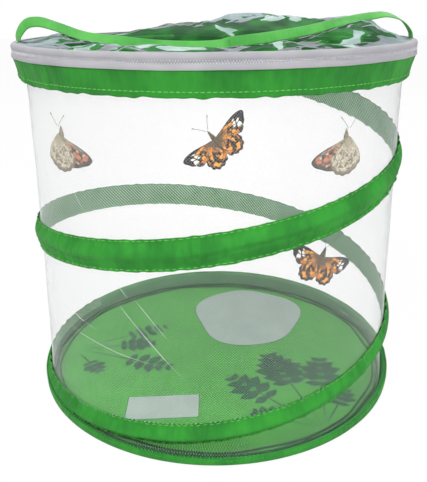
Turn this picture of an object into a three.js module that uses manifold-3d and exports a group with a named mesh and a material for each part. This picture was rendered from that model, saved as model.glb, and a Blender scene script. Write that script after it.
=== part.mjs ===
// Pop-up butterfly habitat: a cylinder of fine netting held open by a coiled spring wire in a
// fabric sleeve, with a hooped base, a hooped rim, a zip round the rim and a clear film lid.
// Millimetres, +Z up. The front looks towards -Y, and the origin is the middle of the floor's
// underside. Angles go round the habitat in degrees, from the front towards +X.

import * as THREE from 'three';
import { mergeVertices } from 'three/addons/utils/BufferGeometryUtils.js';
import Module from 'manifold-3d';

const wasm = await Module();
wasm.setup();

// Driving dimensions: the habitat as a whole
const RIM_HEIGHT = 272; // ground to the top fold of the rim casing
const FOOT_RADIUS = 153.5; // outside of the base binding
const NET_INSET = 5.2; // from the binding's outside to the netting's
const NET_TAPER = 4.9; // the netting is narrower by this at its top than at its foot
const NET_WAIST = 0.65; // and half way up narrower by this than an even taper
const RIM_FLARE = 7.6; // from the netting's top to the outside of the rim casing

// Driving dimensions: sheets, seams and clearances
const FABRIC = 0.6; // woven fabric of the floor, binding, casing and sleeve
const NETTING = 0.5; // netting, with its bulk of knots
const FILM = 0.5; // clear lid film
const TAPE = 0.6; // zip tape
const SEAM_GAP = 0.3; // between sheets that are sewn together
const WIRE_PLAY = 0.5; // between the coiled wire and the fabric round it
const CRIMP_GAP = 0.3; // between a wire and the ferrule crimped on it

// Driving dimensions: wires and ferrules
const HOOP_WIRE_RADIUS = 0.9;
const SPIRAL_WIRE_RADIUS = 0.8;
const FERRULE_WALL = 0.4;
const FERRULE_LENGTH = 14;
const HOOP_BUTT_GAP = 0.8; // between the hoop's two ends, inside the ferrule

// Driving dimensions: floor and base binding
const FLOOR_LIFT = 18.7; // the floor rises on to the binding's flange over this width
const BINDING_WIDTH = 9.5; // of its flange under the floor
const BINDING_FRONT_HEIGHT = 6.5;
const BINDING_BACK_HEIGHT = 16;

// Driving dimensions: rim casing
const CASING_HEIGHT = 16.5;
const CASING_TOP_WIDTH = 5.2; // inside the casing, at its top fold
const NET_TUCK = 4.5; // of the netting inside the casing

// Driving dimensions: the coil and its sleeve
const COIL_TURN_SHARE = 0.532; // drop in one turn, as a share of the coil's drop
const COIL_LEAN = 7; // how much lower each turn hangs at the front than at its axis
const COIL_FRONT_SHARE = 0.6; // height of the first turn at the front, as a share of the coil's drop
const COIL_TOP_ANGLE = 262.5; // where the wire ends in the rim's ferrule
const COIL_LEAD_IN = 195; // where it leaves the steady helix for the rim
const COIL_LEAD_OUT = -352.5; // where it leaves the steady helix for the base
const COIL_FOOT_ANGLE = -607.5; // where the wire ends in the base's ferrule
const SLEEVE_WIDTH = 20;
const SLEEVE_CROWN = 3.2; // width of the sleeve's flat top over the wire
const SLEEVE_END_ANGLE = -487.5; // where the sleeve has run into the base binding

// Driving dimensions: zip
const TAPE_FLANGE = 4; // sewn part of each tape
const TAPE_STAND = 2.1; // tape that shows between its seam and its teeth
const TEETH_HEIGHT = 0.7; // of one row
const TEETH_WIDTH = 1.6;
const TEETH_SPREAD = 1.2; // between the rows, where the slider's post runs
const ZIP_SET_BACK = 0.4; // tape's outside, inside the rim casing's
const ZIP_END_ANGLE = 163.5; // each row ends here, to the left and right of the hinge
const STOP_LENGTH = 2.4;

// Driving dimensions: zip slider and pull
const SLIDER_PARK_ANGLE = 159;
const SLIDER_LENGTH = 9;
const SLIDER_PLATE = 1;
const SLIDER_SIDE_PLAY = 1; // between a plate and the teeth
const SLIDER_SEAM_PLAY = 0.4; // between a plate and the sewn flanges of the tapes
const POST_PLAY = 0.3; // between the post and each row
const POST_LENGTH = 2.4;
const BRIDGE_LENGTH = 7.4; // arch that carries the pull
const BRIDGE_BAR = 1;
const BRIDGE_WIDTH = 1.6;
const BRIDGE_REACH = 2; // clear space under the arch
const PULL_LENGTH = 22;
const PULL_WIDTH = 6.4;
const PULL_THICKNESS = 1;
const PULL_PLAY = 0.4; // between the pull's slot and the bridge
const PULL_RING = 2.1; // from the bridge's end to the tab beyond the slot

// Driving dimensions: lid film, as a puffed sheet with a flat hem
const FILM_HEM = 4.6; // flat margin sewn on the tape
const FILM_FADE = 28; // the puffed sheet comes down to the hem over this width
const FILM_CREST = 17; // rise behind the middle
const FILM_RIGHT_SWELL = 14; // rise beside the right end of the strap
const FILM_LEFT_SWELL = 3.5; // rise beside the left end of the strap
const FILM_HOLLOW = 8; // dip in front of the middle, where the strap lies

// Where the film's rises and its dip lie: middle x and y, then width in x and y, as shares of the
// lid's radius
const CREST_PLACE = [0.17, 0.33, 0.5, 0.32];
const RIGHT_SWELL_PLACE = [0.74, -0.05, 0.2, 0.4];
const LEFT_SWELL_PLACE = [-0.83, 0, 0.17, 0.33];
const HOLLOW_PLACE = [-0.1, -0.27, 0.41, 0.23];

// Driving dimensions: strap
const STRAP_WIDTH = 9;
const STRAP_THICKNESS = 0.8;
const STRAP_PLAY = 1; // least space between the strap and the film under it

// The strap's route from its left end to its right: x and y as shares of the lid's radius, height
// over the film's hem, and tilt in degrees of its face towards the front
const STRAP_ROUTE = [
  [-0.973, -0.133, SEAM_GAP, 0],
  [-0.966, -0.133, 5, 0],
  [-0.923, -0.133, 12.5, 4],
  [-0.863, -0.133, 14, 8],
  [-0.784, -0.133, 11, 12],
  [-0.637, -0.139, 3.5, 15],
  [-0.465, -0.166, 0, 15],
  [-0.3, -0.206, -3, 12],
  [-0.066, -0.226, -4.5, 12],
  [0.06, -0.226, -4.5, 15],
  [0.2, -0.219, -2, 18],
  [0.425, -0.186, 5.5, 18],
  [0.617, -0.16, 11.5, 16],
  [0.77, -0.146, 16, 12],
  [0.843, -0.146, 17, 8],
  [0.916, -0.165, 12.5, 4],
  [0.958, -0.17, 5, 0],
  [0.965, -0.17, SEAM_GAP, 0],
];

// Steps of the round pieces: every ring shares them, so that neighbours' facets stay parallel
const RING_STEPS = 48;
const STEP_ANGLE = 360 / RING_STEPS;
const CHORD = Math.cos(Math.PI / RING_STEPS); // middle of a facet, as a share of the radius
const WIRE_SIDES = 6;
const BORE_SIDES = 12;
const FILM_RINGS = [0.2, 0.4, 0.6, 0.78, 0.92];
const STRAP_STEPS = 44;

// Colours, from the object
const finish = (color, roughness, metalness = 0, more = {}) =>
  new THREE.MeshStandardMaterial({ color, roughness, metalness, ...more });
const GREEN_FABRIC = finish(0x2f8f34, 0.75);
const GREEN_FLOOR = finish(0x5fae5c, 0.8);
const GREEN_RIBBON = finish(0x4fbf45, 0.6);
const WHITE_NETTING = finish(0xf1f1ef, 0.85, 0, { transparent: true, opacity: 0.35 });
const WHITE_TAPE = finish(0xd8d5de, 0.8);
const WHITE_TEETH = finish(0xe6e4ea, 0.45);
const CLEAR_FILM = finish(0xe9f1f3, 0.15, 0, { transparent: true, opacity: 0.3 });
const SPRING_STEEL = finish(0x8c9094, 0.35, 1);
const CRIMPED_METAL = finish(0xa9abad, 0.4, 1);
const NICKEL = finish(0xc3c4c6, 0.3, 1);

// Heights and radii worked out from the driving dimensions
const casingFoot = RIM_HEIGHT - CASING_HEIGHT;
const floorEdge = FABRIC + SEAM_GAP;
const netFoot = floorEdge + FABRIC + SEAM_GAP;
const netTop = casingFoot + NET_TUCK;
const bindingInside = FOOT_RADIUS - FABRIC;
const wallFootRadius = FOOT_RADIUS - NET_INSET;
const wallTopRadius = wallFootRadius - NET_TAPER;
const wallWaistRadius = (wallFootRadius + wallTopRadius) / 2 - NET_WAIST;
const rimRadius = wallTopRadius + RIM_FLARE;
const casingInside = rimRadius - FABRIC;
const casingRoof = RIM_HEIGHT - FABRIC;
const hoopBore = HOOP_WIRE_RADIUS + CRIMP_GAP;
const spiralBore = SPIRAL_WIRE_RADIUS + CRIMP_GAP;
const ferruleRadius = hoopBore + FERRULE_WALL;
const barrelSpacing = hoopBore + FERRULE_WALL + spiralBore; // between the ferrule's two bores

const degrees = THREE.MathUtils.degToRad;

/** A point at an angle round the habitat. */
function polar(angle, radius, height) {
  const a = degrees(angle);
  return new THREE.Vector3(radius * Math.sin(a), -radius * Math.cos(a), height);
}

/** Outside of the netting at a height: a parabola through the foot, waist and top radii. */
function wallRadius(z) {
  const s = (z - netFoot) / (netTop - netFoot);
  const foot = wallFootRadius * (1 - s) * (1 - 2 * s);
  const waist = wallWaistRadius * 4 * s * (1 - s);
  return foot + waist + wallTopRadius * s * (2 * s - 1);
}

// Space inside the rim casing: its outer layer flares from the netting to the top fold
const casingMouth = wallRadius(casingFoot) + 2 * (WIRE_PLAY + SPIRAL_WIRE_RADIUS);
const casingSlope = (casingInside - casingMouth) / (casingRoof - casingFoot);
const casingTilt = Math.atan(casingSlope);
const casingOuter = (z) => casingMouth + casingSlope * (z - casingFoot);

// The rim's hoop, with the coil's end below it along the casing's slope
const rimBarrelInset = (ferruleRadius + SEAM_GAP) / Math.cos(casingTilt);
const rimHoopHeight = casingRoof - SEAM_GAP - ferruleRadius;
const rimHoopRadius = casingOuter(rimHoopHeight) - rimBarrelInset;
const coilTopHeight = rimHoopHeight - barrelSpacing * Math.cos(casingTilt);
const coilTopRadius = casingOuter(coilTopHeight) - rimBarrelInset;

// The base's hoop, with the coil's end above it
const footHoopRadius = (wallRadius(netFoot) + bindingInside) / 2;
const footHoopHeight = FABRIC + SEAM_GAP + ferruleRadius;
const coilFootHeight = footHoopHeight + barrelSpacing;
const sleeveFloor = coilFootHeight + ferruleRadius + SEAM_GAP; // the sleeve stops above the ferrule

// Height of the coil: a steady helix that leans to the front, and eases into both hoops
const coilDrop = coilTopHeight - coilFootHeight;
const coilPitch = COIL_TURN_SHARE * coilDrop;
const helixFront = coilFootHeight + COIL_FRONT_SHARE * coilDrop + COIL_LEAN;
const helix = (angle) =>
  helixFront + (coilPitch * angle) / 360 - COIL_LEAN * Math.cos(degrees(angle));
const helixSlope = (angle) =>
  coilPitch / 360 + COIL_LEAN * Math.sin(degrees(angle)) * degrees(1);

/** Runs from the helix at an angle to a level end, with no kink where it leaves the helix. */
function easeOut(angle, leave, end, endHeight) {
  const left = THREE.MathUtils.clamp((end - angle) / (end - leave), 0, 1);
  const drop = helix(leave) - endHeight;
  const power = Math.max((helixSlope(leave) * (leave - end)) / drop, 1);
  return endHeight + drop * left ** power;
}

function coilHeight(angle) {
  if (angle > COIL_LEAD_IN) {
    return easeOut(angle, COIL_LEAD_IN, COIL_TOP_ANGLE - STEP_ANGLE, coilTopHeight);
  }
  if (angle < COIL_LEAD_OUT) {
    return easeOut(angle, COIL_LEAD_OUT, COIL_FOOT_ANGLE + STEP_ANGLE, coilFootHeight);
  }
  return helix(angle);
}

/** Radius of the coiled wire's middle: on the netting, and beside each hoop at its ends. */
function coilRadius(z) {
  const onWall = WIRE_PLAY + SPIRAL_WIRE_RADIUS;
  if (z > casingFoot) {
    const share = (z - casingFoot) / (coilTopHeight - casingFoot);
    return casingOuter(z) - THREE.MathUtils.lerp(onWall, rimBarrelInset, share);
  }
  if (z < sleeveFloor) {
    const share = (sleeveFloor - z) / (sleeveFloor - coilFootHeight);
    return THREE.MathUtils.lerp(wallRadius(sleeveFloor) + onWall, footHoopRadius, share);
  }
  return wallRadius(z) + onWall;
}

/** Keeps only positions, merges shared corners, drops empty faces and points all faces out. */
function closed(geometry) {
  geometry.deleteAttribute('normal');
  geometry.deleteAttribute('uv');
  const merged = mergeVertices(geometry, 1e-4);
  const faces = [];
  let volume = 0;
  const [a, b, c] = [new THREE.Vector3(), new THREE.Vector3(), new THREE.Vector3()];
  const { array } = merged.index;
  for (let i = 0; i < array.length; i += 3) {
    const [p, q, r] = [array[i], array[i + 1], array[i + 2]];
    if (p === q || q === r || r === p) continue;
    faces.push([p, q, r]);
    a.fromBufferAttribute(merged.attributes.position, p);
    b.fromBufferAttribute(merged.attributes.position, q);
    c.fromBufferAttribute(merged.attributes.position, r);
    volume += a.dot(b.cross(c));
  }
  merged.setIndex(faces.flatMap((f) => (volume < 0 ? [f[0], f[2], f[1]] : f)));
  merged.computeVertexNormals();
  return merged;
}

/** A full ring with a closed outline of [radius, height] corners. */
function ring(outline) {
  const corners = [...outline, outline[0]].map(([r, z]) => new THREE.Vector2(r, z));
  return closed(new THREE.LatheGeometry(corners, RING_STEPS).rotateX(Math.PI / 2));
}

/** A closed skin over a row of like sections. A loop's last section joins its first. */
function skin(sections, outline, loop = false) {
  const count = outline.length;
  const index = [];
  const spans = loop ? sections.length : sections.length - 1;
  for (let i = 0; i < spans; i += 1) {
    const near = i * count;
    const far = ((i + 1) % sections.length) * count;
    for (let j = 0; j < count; j += 1) {
      const k = (j + 1) % count;
      index.push(near + j, far + j, far + k, near + j, far + k, near + k);
    }
  }
  if (!loop) {
    const last = (sections.length - 1) * count;
    for (const [p, q, r] of THREE.ShapeUtils.triangulateShape(outline, [])) {
      index.push(p, q, r, last + p, last + r, last + q);
    }
  }
  const geometry = new THREE.BufferGeometry().setFromPoints(sections.flat());
  geometry.setIndex(index);
  return closed(geometry);
}

/** A box from its lowest to its highest corner. */
function block(low, high) {
  const [dx, dy, dz] = high.map((h, i) => h - low[i]);
  const [x, y, z] = high.map((h, i) => (h + low[i]) / 2);
  return closed(new THREE.BoxGeometry(dx, dy, dz).translate(x, y, z));
}

/** A slice of a cake, between two angles, that takes in every ring. */
function wedge(from, to) {
  const reach = 2 * FOOT_RADIUS;
  const tip = [from, (from + to) / 2, to].map((angle) => polar(angle, reach, 0));
  const slice = new THREE.Shape([new THREE.Vector2(), ...tip.map((p) => new THREE.Vector2(p.x, p.y))]);
  return closed(new THREE.ExtrudeGeometry(slice, { depth: 2 * RIM_HEIGHT, bevelEnabled: false }));
}

function solid(geometry) {
  const vertProperties = new Float32Array(geometry.attributes.position.array);
  const triVerts = new Uint32Array(geometry.index.array);
  return new wasm.Manifold(new wasm.Mesh({ numProp: 3, vertProperties, triVerts }));
}

function geometryOf(body) {
  const { vertProperties, triVerts } = body.getMesh();
  const geometry = new THREE.BufferGeometry();
  geometry.setAttribute('position', new THREE.BufferAttribute(vertProperties, 3));
  geometry.setIndex(new THREE.BufferAttribute(triVerts, 1));
  geometry.computeVertexNormals();
  return geometry;
}

const cut = (body, tool) => geometryOf(solid(body).subtract(solid(tool)));
const common = (body, tool) => geometryOf(solid(body).intersect(solid(tool)));
const join = (...bodies) => geometryOf(bodies.map(solid).reduce((all, next) => all.add(next)));

// Floor and base binding

function floorPanel() {
  const edge = wallRadius(netFoot);
  const rise = FOOT_RADIUS - BINDING_WIDTH - SEAM_GAP;
  const flat = rise - FLOOR_LIFT;
  return ring([
    [0, 0],
    [flat, 0],
    [rise, floorEdge],
    [edge, floorEdge],
    [edge, floorEdge + FABRIC],
    [rise, floorEdge + FABRIC],
    [flat, FABRIC],
    [0, FABRIC],
  ]);
}

/** Top of the base binding's standing edge: low at the front, high at the back. */
function bindingTop(angle) {
  const back = (1 - Math.cos(degrees(angle))) / 2;
  return THREE.MathUtils.lerp(BINDING_FRONT_HEIGHT, BINDING_BACK_HEIGHT, back);
}

function baseBinding() {
  const section = (top) => [
    [FOOT_RADIUS - BINDING_WIDTH, 0],
    [FOOT_RADIUS, 0],
    [FOOT_RADIUS, top],
    [bindingInside, top],
    [bindingInside, FABRIC],
    [FOOT_RADIUS - BINDING_WIDTH, FABRIC],
  ];
  const angles = Array.from({ length: RING_STEPS }, (_, i) => i * STEP_ANGLE);
  const sections = angles.map((angle) => section(bindingTop(angle)).map(([r, z]) => polar(angle, r, z)));
  const outline = section(BINDING_FRONT_HEIGHT).map(([r, z]) => new THREE.Vector2(r, z));
  return skin(sections, outline, true);
}

// Wires and ferrules

/** A hoop of round wire, open by the butt gap at the middle of a facet. */
function hoopWire(radius, height, openAngle) {
  const corners = Array.from({ length: WIRE_SIDES }, (_, i) => {
    const a = (2 * Math.PI * i) / WIRE_SIDES;
    return [radius + HOOP_WIRE_RADIUS * Math.cos(a), height + HOOP_WIRE_RADIUS * Math.sin(a)];
  });
  const half = THREE.MathUtils.radToDeg(HOOP_BUTT_GAP / 2 / radius);
  return cut(ring(corners), wedge(openAngle - half, openAngle + half));
}

/** A crimped sleeve of two barrels, for a hoop and for the coil's end, made at the front. */
function ferrule(hoop, coil) {
  const [a, b] = [hoop, coil].map(([r, z]) => new THREE.Vector2(r * CHORD, z));
  const lie = Math.atan2(b.y - a.y, b.x - a.x);
  const quarter = Math.PI / 2;
  const shape = new THREE.Shape();
  shape.absarc(a.x, a.y, ferruleRadius, lie + quarter, lie + 3 * quarter, false);
  shape.absarc(b.x, b.y, ferruleRadius, lie - quarter, lie + quarter, false);
  for (const [middle, bore] of [[a, hoopBore], [b, spiralBore]]) {
    shape.holes.push(new THREE.Path().absarc(middle.x, middle.y, bore, 0, 2 * Math.PI, true));
  }
  const options = { depth: FERRULE_LENGTH, bevelEnabled: false, curveSegments: BORE_SIDES };
  const geometry = new THREE.ExtrudeGeometry(shape, options).translate(0, 0, -FERRULE_LENGTH / 2);
  const outwards = new THREE.Vector3(0, -1, 0);
  const upwards = new THREE.Vector3(0, 0, 1);
  const along = new THREE.Vector3().crossVectors(outwards, upwards);
  return closed(geometry.applyMatrix4(new THREE.Matrix4().makeBasis(outwards, upwards, along)));
}

/** The coiled wire's middle line, stepped by equal angles so that its facets meet the hoops'. */
class CoilPath extends THREE.Curve {
  getPoint(t, target = new THREE.Vector3()) {
    const angle = THREE.MathUtils.lerp(COIL_TOP_ANGLE, COIL_FOOT_ANGLE, t);
    const z = coilHeight(angle);
    return target.copy(polar(angle, coilRadius(z), z));
  }

  getTangentAt(u, target) {
    return this.getTangent(u, target);
  }

  getSpacedPoints(divisions) {
    return this.getPoints(divisions);
  }
}

const coilSteps = Math.round((COIL_TOP_ANGLE - COIL_FOOT_ANGLE) / STEP_ANGLE);
const coilPath = new CoilPath();

function spiralWire() {
  const section = new THREE.Shape(
    Array.from({ length: WIRE_SIDES }, (_, i) => {
      const a = (2 * Math.PI * i) / WIRE_SIDES;
      return new THREE.Vector2(SPIRAL_WIRE_RADIUS * Math.cos(a), SPIRAL_WIRE_RADIUS * Math.sin(a));
    }),
  );
  const options = { steps: coilSteps, extrudePath: coilPath, bevelEnabled: false };
  return closed(new THREE.ExtrudeGeometry(section, options));
}

/** Least gap between one turn of the wire and the next, from points on its middle line. */
function coilSelfGap() {
  const points = coilPath.getPoints(coilSteps);
  const apart = RING_STEPS / 2;
  let least = Infinity;
  points.forEach((p, i) => {
    for (const q of points.slice(i + apart)) least = Math.min(least, p.distanceTo(q));
  });
  return least - 2 * SPIRAL_WIRE_RADIUS;
}

// Netting and the sleeve sewn on it

function netWall() {
  const heights = [0, 0.25, 0.5, 0.75, 1].map((s) => THREE.MathUtils.lerp(netFoot, netTop, s));
  const outside = heights.map((z) => [wallRadius(z), z]);
  const inside = heights.map((z) => [wallRadius(z) - NETTING, z]).reverse();
  return ring([...outside, ...inside]);
}

/** A fabric strip sewn along both edges, arched over the wire, cut off at the casing and base. */
function spiralSleeve() {
  const half = SLEEVE_WIDTH / 2;
  const crown = SLEEVE_CROWN / 2;
  const lift = 2 * (WIRE_PLAY + SPIRAL_WIRE_RADIUS);
  const under = [[-half, SEAM_GAP], [-crown, lift], [crown, lift], [half, SEAM_GAP]];
  const over = under.map(([up, out]) => [up, out + FABRIC]).reverse();
  const outline = [...under, ...over].map(([up, out]) => new THREE.Vector2(up, out));
  const steps = Math.round((COIL_TOP_ANGLE - SLEEVE_END_ANGLE) / STEP_ANGLE);
  const sections = Array.from({ length: steps + 1 }, (_, i) => {
    const angle = COIL_TOP_ANGLE - i * STEP_ANGLE;
    const middle = coilHeight(angle);
    return outline.map((p) => polar(angle, wallRadius(middle + p.x) + p.y, middle + p.x));
  });
  const far = 2 * FOOT_RADIUS;
  const underCasing = block([-far, -far, sleeveFloor], [far, far, casingFoot - SEAM_GAP]);
  return common(skin(sections, outline), underCasing);
}

// Rim casing, folded over the hoop: the outer layer reaches down past the netting's edge

function topBand() {
  const innerFoot = netTop + SEAM_GAP;
  const innerTop = casingInside - CASING_TOP_WIDTH;
  const innerMouth = wallRadius(netTop);
  return ring([
    [casingMouth, casingFoot],
    [casingMouth + FABRIC, casingFoot],
    [rimRadius, casingRoof],
    [casingInside, RIM_HEIGHT],
    [innerTop, RIM_HEIGHT],
    [innerTop - FABRIC, casingRoof],
    [innerMouth - FABRIC, innerFoot],
    [innerMouth, innerFoot],
    [innerTop, casingRoof],
    [casingInside, casingRoof],
  ]);
}

// Zip: two tapes with a sewn flange each, two rows of teeth, stops, a hinge strip at the back

const zipOutside = rimRadius - ZIP_SET_BACK;
const tapeInside = zipOutside - TAPE;
const teethInside = (zipOutside + tapeInside - TEETH_WIDTH) / 2;
const teethOutside = teethInside + TEETH_WIDTH;
const lowerTapeFoot = RIM_HEIGHT + SEAM_GAP;
const lowerTapeTop = lowerTapeFoot + TAPE_STAND;
const lowerTeeth = lowerTapeTop + SEAM_GAP;
const upperTeeth = lowerTeeth + TEETH_HEIGHT + TEETH_SPREAD;
const upperTapeFoot = upperTeeth + TEETH_HEIGHT + SEAM_GAP;
const upperTapeTop = upperTapeFoot + TAPE_STAND;
const zipMiddle = (lowerTapeTop + upperTapeFoot) / 2;
const filmFoot = upperTapeTop + SEAM_GAP;

/** A tape as an L: the flange lies at its seam, and the stand carries the teeth. */
function zipTape(seam, tip) {
  const flange = seam + Math.sign(tip - seam) * TAPE;
  const flangeInside = zipOutside - TAPE_FLANGE;
  return ring([
    [flangeInside, seam],
    [zipOutside, seam],
    [zipOutside, tip],
    [tapeInside, tip],
    [tapeInside, flange],
    [flangeInside, flange],
  ]);
}

const band = (inside, outside, low, high) =>
  ring([[inside, low], [outside, low], [outside, high], [inside, high]]);

function zipTeeth(low) {
  const row = band(teethInside, teethOutside, low, low + TEETH_HEIGHT);
  return cut(row, wedge(ZIP_END_ANGLE, 360 - ZIP_END_ANGLE));
}

/** A stop crimped on the tape's edge, beyond the end of its row, made at the front. */
function zipStop(low) {
  const half = STOP_LENGTH / 2;
  return block([-half, -teethOutside, low], [half, -teethInside, low + TEETH_HEIGHT]);
}

// Angle taken up by a stop and the gap on each side of it
const stopAngle = THREE.MathUtils.radToDeg((STOP_LENGTH + 2 * SEAM_GAP) / zipOutside);

/** Fabric between the two tapes at the back, where the lid turns. */
function hingeStrip() {
  const strip = band(tapeInside, zipOutside, lowerTapeTop + SEAM_GAP, upperTapeFoot - SEAM_GAP);
  const start = ZIP_END_ANGLE + stopAngle;
  return common(strip, wedge(start, 360 - start));
}

// Zip slider and pull, made at the front: +X along the zip, -Y outwards

const sliderFace = teethOutside + SLIDER_SIDE_PLAY + SLIDER_PLATE; // outside of the outer plate
const pullPivot = sliderFace + BRIDGE_REACH / 2;

function zipSlider() {
  const half = SLIDER_LENGTH / 2;
  const low = lowerTapeFoot + TAPE + SLIDER_SEAM_PLAY;
  const high = upperTapeTop - TAPE - SLIDER_SEAM_PLAY;
  const innerFace = teethInside - SLIDER_SIDE_PLAY;
  const outer = block([-half, -sliderFace, low], [half, SLIDER_PLATE - sliderFace, high]);
  const inner = block([-half, -innerFace, low], [half, SLIDER_PLATE - innerFace, high]);
  const postHalf = TEETH_SPREAD / 2 - POST_PLAY;
  const post = block(
    [-POST_LENGTH / 2, SLIDER_PLATE / 2 - sliderFace, zipMiddle - postHalf],
    [POST_LENGTH / 2, SLIDER_PLATE / 2 - innerFace, zipMiddle + postHalf],
  );
  const arch = BRIDGE_LENGTH / 2;
  const roof = sliderFace + BRIDGE_REACH;
  const width = BRIDGE_WIDTH / 2;
  const bridge = block(
    [-arch, -roof - BRIDGE_BAR, zipMiddle - width],
    [arch, SLIDER_PLATE / 2 - sliderFace, zipMiddle + width],
  );
  const window = block(
    [BRIDGE_BAR - arch, -roof, zipMiddle - BRIDGE_WIDTH],
    [arch - BRIDGE_BAR, -sliderFace, zipMiddle + BRIDGE_WIDTH],
  );
  return join(outer, inner, post, cut(bridge, window));
}

/** A flat tab with a slot round the bridge. The bar at the slot's near end lies under the arch. */
function zipPull() {
  const half = PULL_WIDTH / 2;
  const bar = PULL_THICKNESS / 2;
  const slotEnd = BRIDGE_LENGTH / 2 + PULL_RING;
  const slotHalf = BRIDGE_WIDTH / 2 + PULL_PLAY;
  const shape = new THREE.Shape();
  shape.moveTo(bar, -half);
  shape.lineTo(bar, half);
  shape.lineTo(half - PULL_LENGTH, half);
  shape.absarc(half - PULL_LENGTH, 0, half, Math.PI / 2, (3 * Math.PI) / 2, false);
  shape.closePath();
  const slot = [[-bar, -slotHalf], [-slotEnd, -slotHalf], [-slotEnd, slotHalf], [-bar, slotHalf]];
  shape.holes.push(new THREE.Path(slot.map(([x, z]) => new THREE.Vector2(x, z))));
  const options = { depth: PULL_THICKNESS, bevelEnabled: false, curveSegments: BORE_SIDES };
  const flat = new THREE.ExtrudeGeometry(shape, options).translate(0, 0, -PULL_THICKNESS / 2);
  return closed(flat.rotateX(Math.PI / 2).translate(0, -pullPivot, zipMiddle));
}

// Lid film: a flat hem on the tape, and a puffed sheet inside it

const filmRadius = zipOutside;
const filmFree = filmRadius - FILM_HEM;

/** Rise of the film over its hem, at a place given as shares of its radius. */
function filmRise(x, y) {
  const reach = Math.hypot(x, y) * filmRadius;
  const inner = 1 - THREE.MathUtils.smoothstep(reach, filmFree - FILM_FADE, filmFree);
  const bump = ([cx, cy, wx, wy]) => Math.exp(-(((x - cx) / wx) ** 2) - ((y - cy) / wy) ** 2);
  const crest = FILM_CREST * bump(CREST_PLACE);
  const right = FILM_RIGHT_SWELL * bump(RIGHT_SWELL_PLACE);
  const left = FILM_LEFT_SWELL * bump(LEFT_SWELL_PLACE);
  const hollow = FILM_HOLLOW * bump(HOLLOW_PLACE);
  return inner * (crest + right + left - hollow);
}

function lidFilm() {
  const radii = [...FILM_RINGS.map((share) => share * filmFree), filmFree, filmRadius];
  const points = [];
  const index = [];
  for (const lift of [0, FILM]) {
    points.push(new THREE.Vector3(0, 0, filmFoot + filmRise(0, 0) + lift));
    for (const r of radii) {
      for (let i = 0; i < RING_STEPS; i += 1) {
        const p = polar(i * STEP_ANGLE, r, filmFoot + lift);
        p.z += filmRise(p.x / filmRadius, p.y / filmRadius);
        points.push(p);
      }
    }
  }
  const sheet = 1 + radii.length * RING_STEPS;
  const at = (side, row, i) => side * sheet + 1 + row * RING_STEPS + (i % RING_STEPS);
  const last = radii.length - 1;
  for (let i = 0; i < RING_STEPS; i += 1) {
    for (const side of [0, 1]) {
      const faces = [[side * sheet, at(side, 0, i), at(side, 0, i + 1)]];
      for (let row = 0; row < last; row += 1) {
        const [p, q] = [at(side, row, i), at(side, row, i + 1)];
        const [r, s] = [at(side, row + 1, i), at(side, row + 1, i + 1)];
        faces.push([p, r, s], [p, s, q]);
      }
      for (const f of faces) index.push(...(side ? f : f.reverse()));
    }
    index.push(at(0, last, i), at(0, last, i + 1), at(1, last, i + 1));
    index.push(at(0, last, i), at(1, last, i + 1), at(1, last, i));
  }
  const geometry = new THREE.BufferGeometry().setFromPoints(points);
  geometry.setIndex(index);
  return closed(geometry);
}

// Strap: a ribbon with both ends standing in the film's hem, arched beside them, slack in the middle

function hangingStrap() {
  const hem = filmFoot + FILM;
  const [w, t] = [STRAP_WIDTH / 2, STRAP_THICKNESS / 2];
  const places = STRAP_ROUTE.map(([x, y, height, tilt], i) => {
    const end = i === 0 || i === STRAP_ROUTE.length - 1;
    const lowEdge = w * Math.sin(degrees(tilt)) + t + STRAP_PLAY;
    const lift = end ? height : Math.max(height, filmRise(x, y) + lowEdge);
    return new THREE.Vector3(x * filmRadius, y * filmRadius, hem + lift);
  });
  const path = new THREE.CatmullRomCurve3(places, false, 'centripetal');
  const tilts = new THREE.SplineCurve(STRAP_ROUTE.map((place) => new THREE.Vector2(0, place[3])));
  const outline = [[-w, -t], [w, -t], [w, t], [-w, t]].map(([x, y]) => new THREE.Vector2(x, y));
  const sections = Array.from({ length: STRAP_STEPS + 1 }, (_, i) => {
    const u = i / STRAP_STEPS;
    const along = path.getTangent(u);
    const across = new THREE.Vector3(0, 1, 0).projectOnPlane(along).normalize();
    across.applyAxisAngle(along, degrees(tilts.getPoint(u).y));
    const face = new THREE.Vector3().crossVectors(along, across);
    const middle = path.getPoint(u);
    return outline.map((p) => middle.clone().addScaledVector(across, p.x).addScaledVector(face, p.y));
  });
  return skin(sections, outline);
}

// The assembly

const habitat = new THREE.Group();

/** Adds a piece, turned round the habitat's axis from the front to its angle. */
function place(group, name, geometry, material, angle = 0) {
  const mesh = new THREE.Mesh(geometry, material);
  mesh.name = name;
  mesh.rotation.z = degrees(angle);
  group.add(mesh);
}

const rimJointAngle = COIL_TOP_ANGLE - STEP_ANGLE / 2;
const footJointAngle = COIL_FOOT_ANGLE + STEP_ANGLE / 2;

const base = new THREE.Group();
place(base, 'floor_panel', floorPanel(), GREEN_FLOOR);
place(base, 'base_binding', baseBinding(), GREEN_FABRIC);
const footHoop = hoopWire(footHoopRadius, footHoopHeight, footJointAngle);
place(base, 'base_hoop_wire', footHoop, SPRING_STEEL);
const footFerrule = ferrule([footHoopRadius, footHoopHeight], [footHoopRadius, coilFootHeight]);
place(base, 'base_hoop_ferrule', footFerrule, CRIMPED_METAL, footJointAngle);

const wall = new THREE.Group();
place(wall, 'net_wall', netWall(), WHITE_NETTING);
place(wall, 'spiral_sleeve', spiralSleeve(), GREEN_FABRIC);
place(wall, 'spiral_spring_wire', spiralWire(), SPRING_STEEL);

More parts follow.
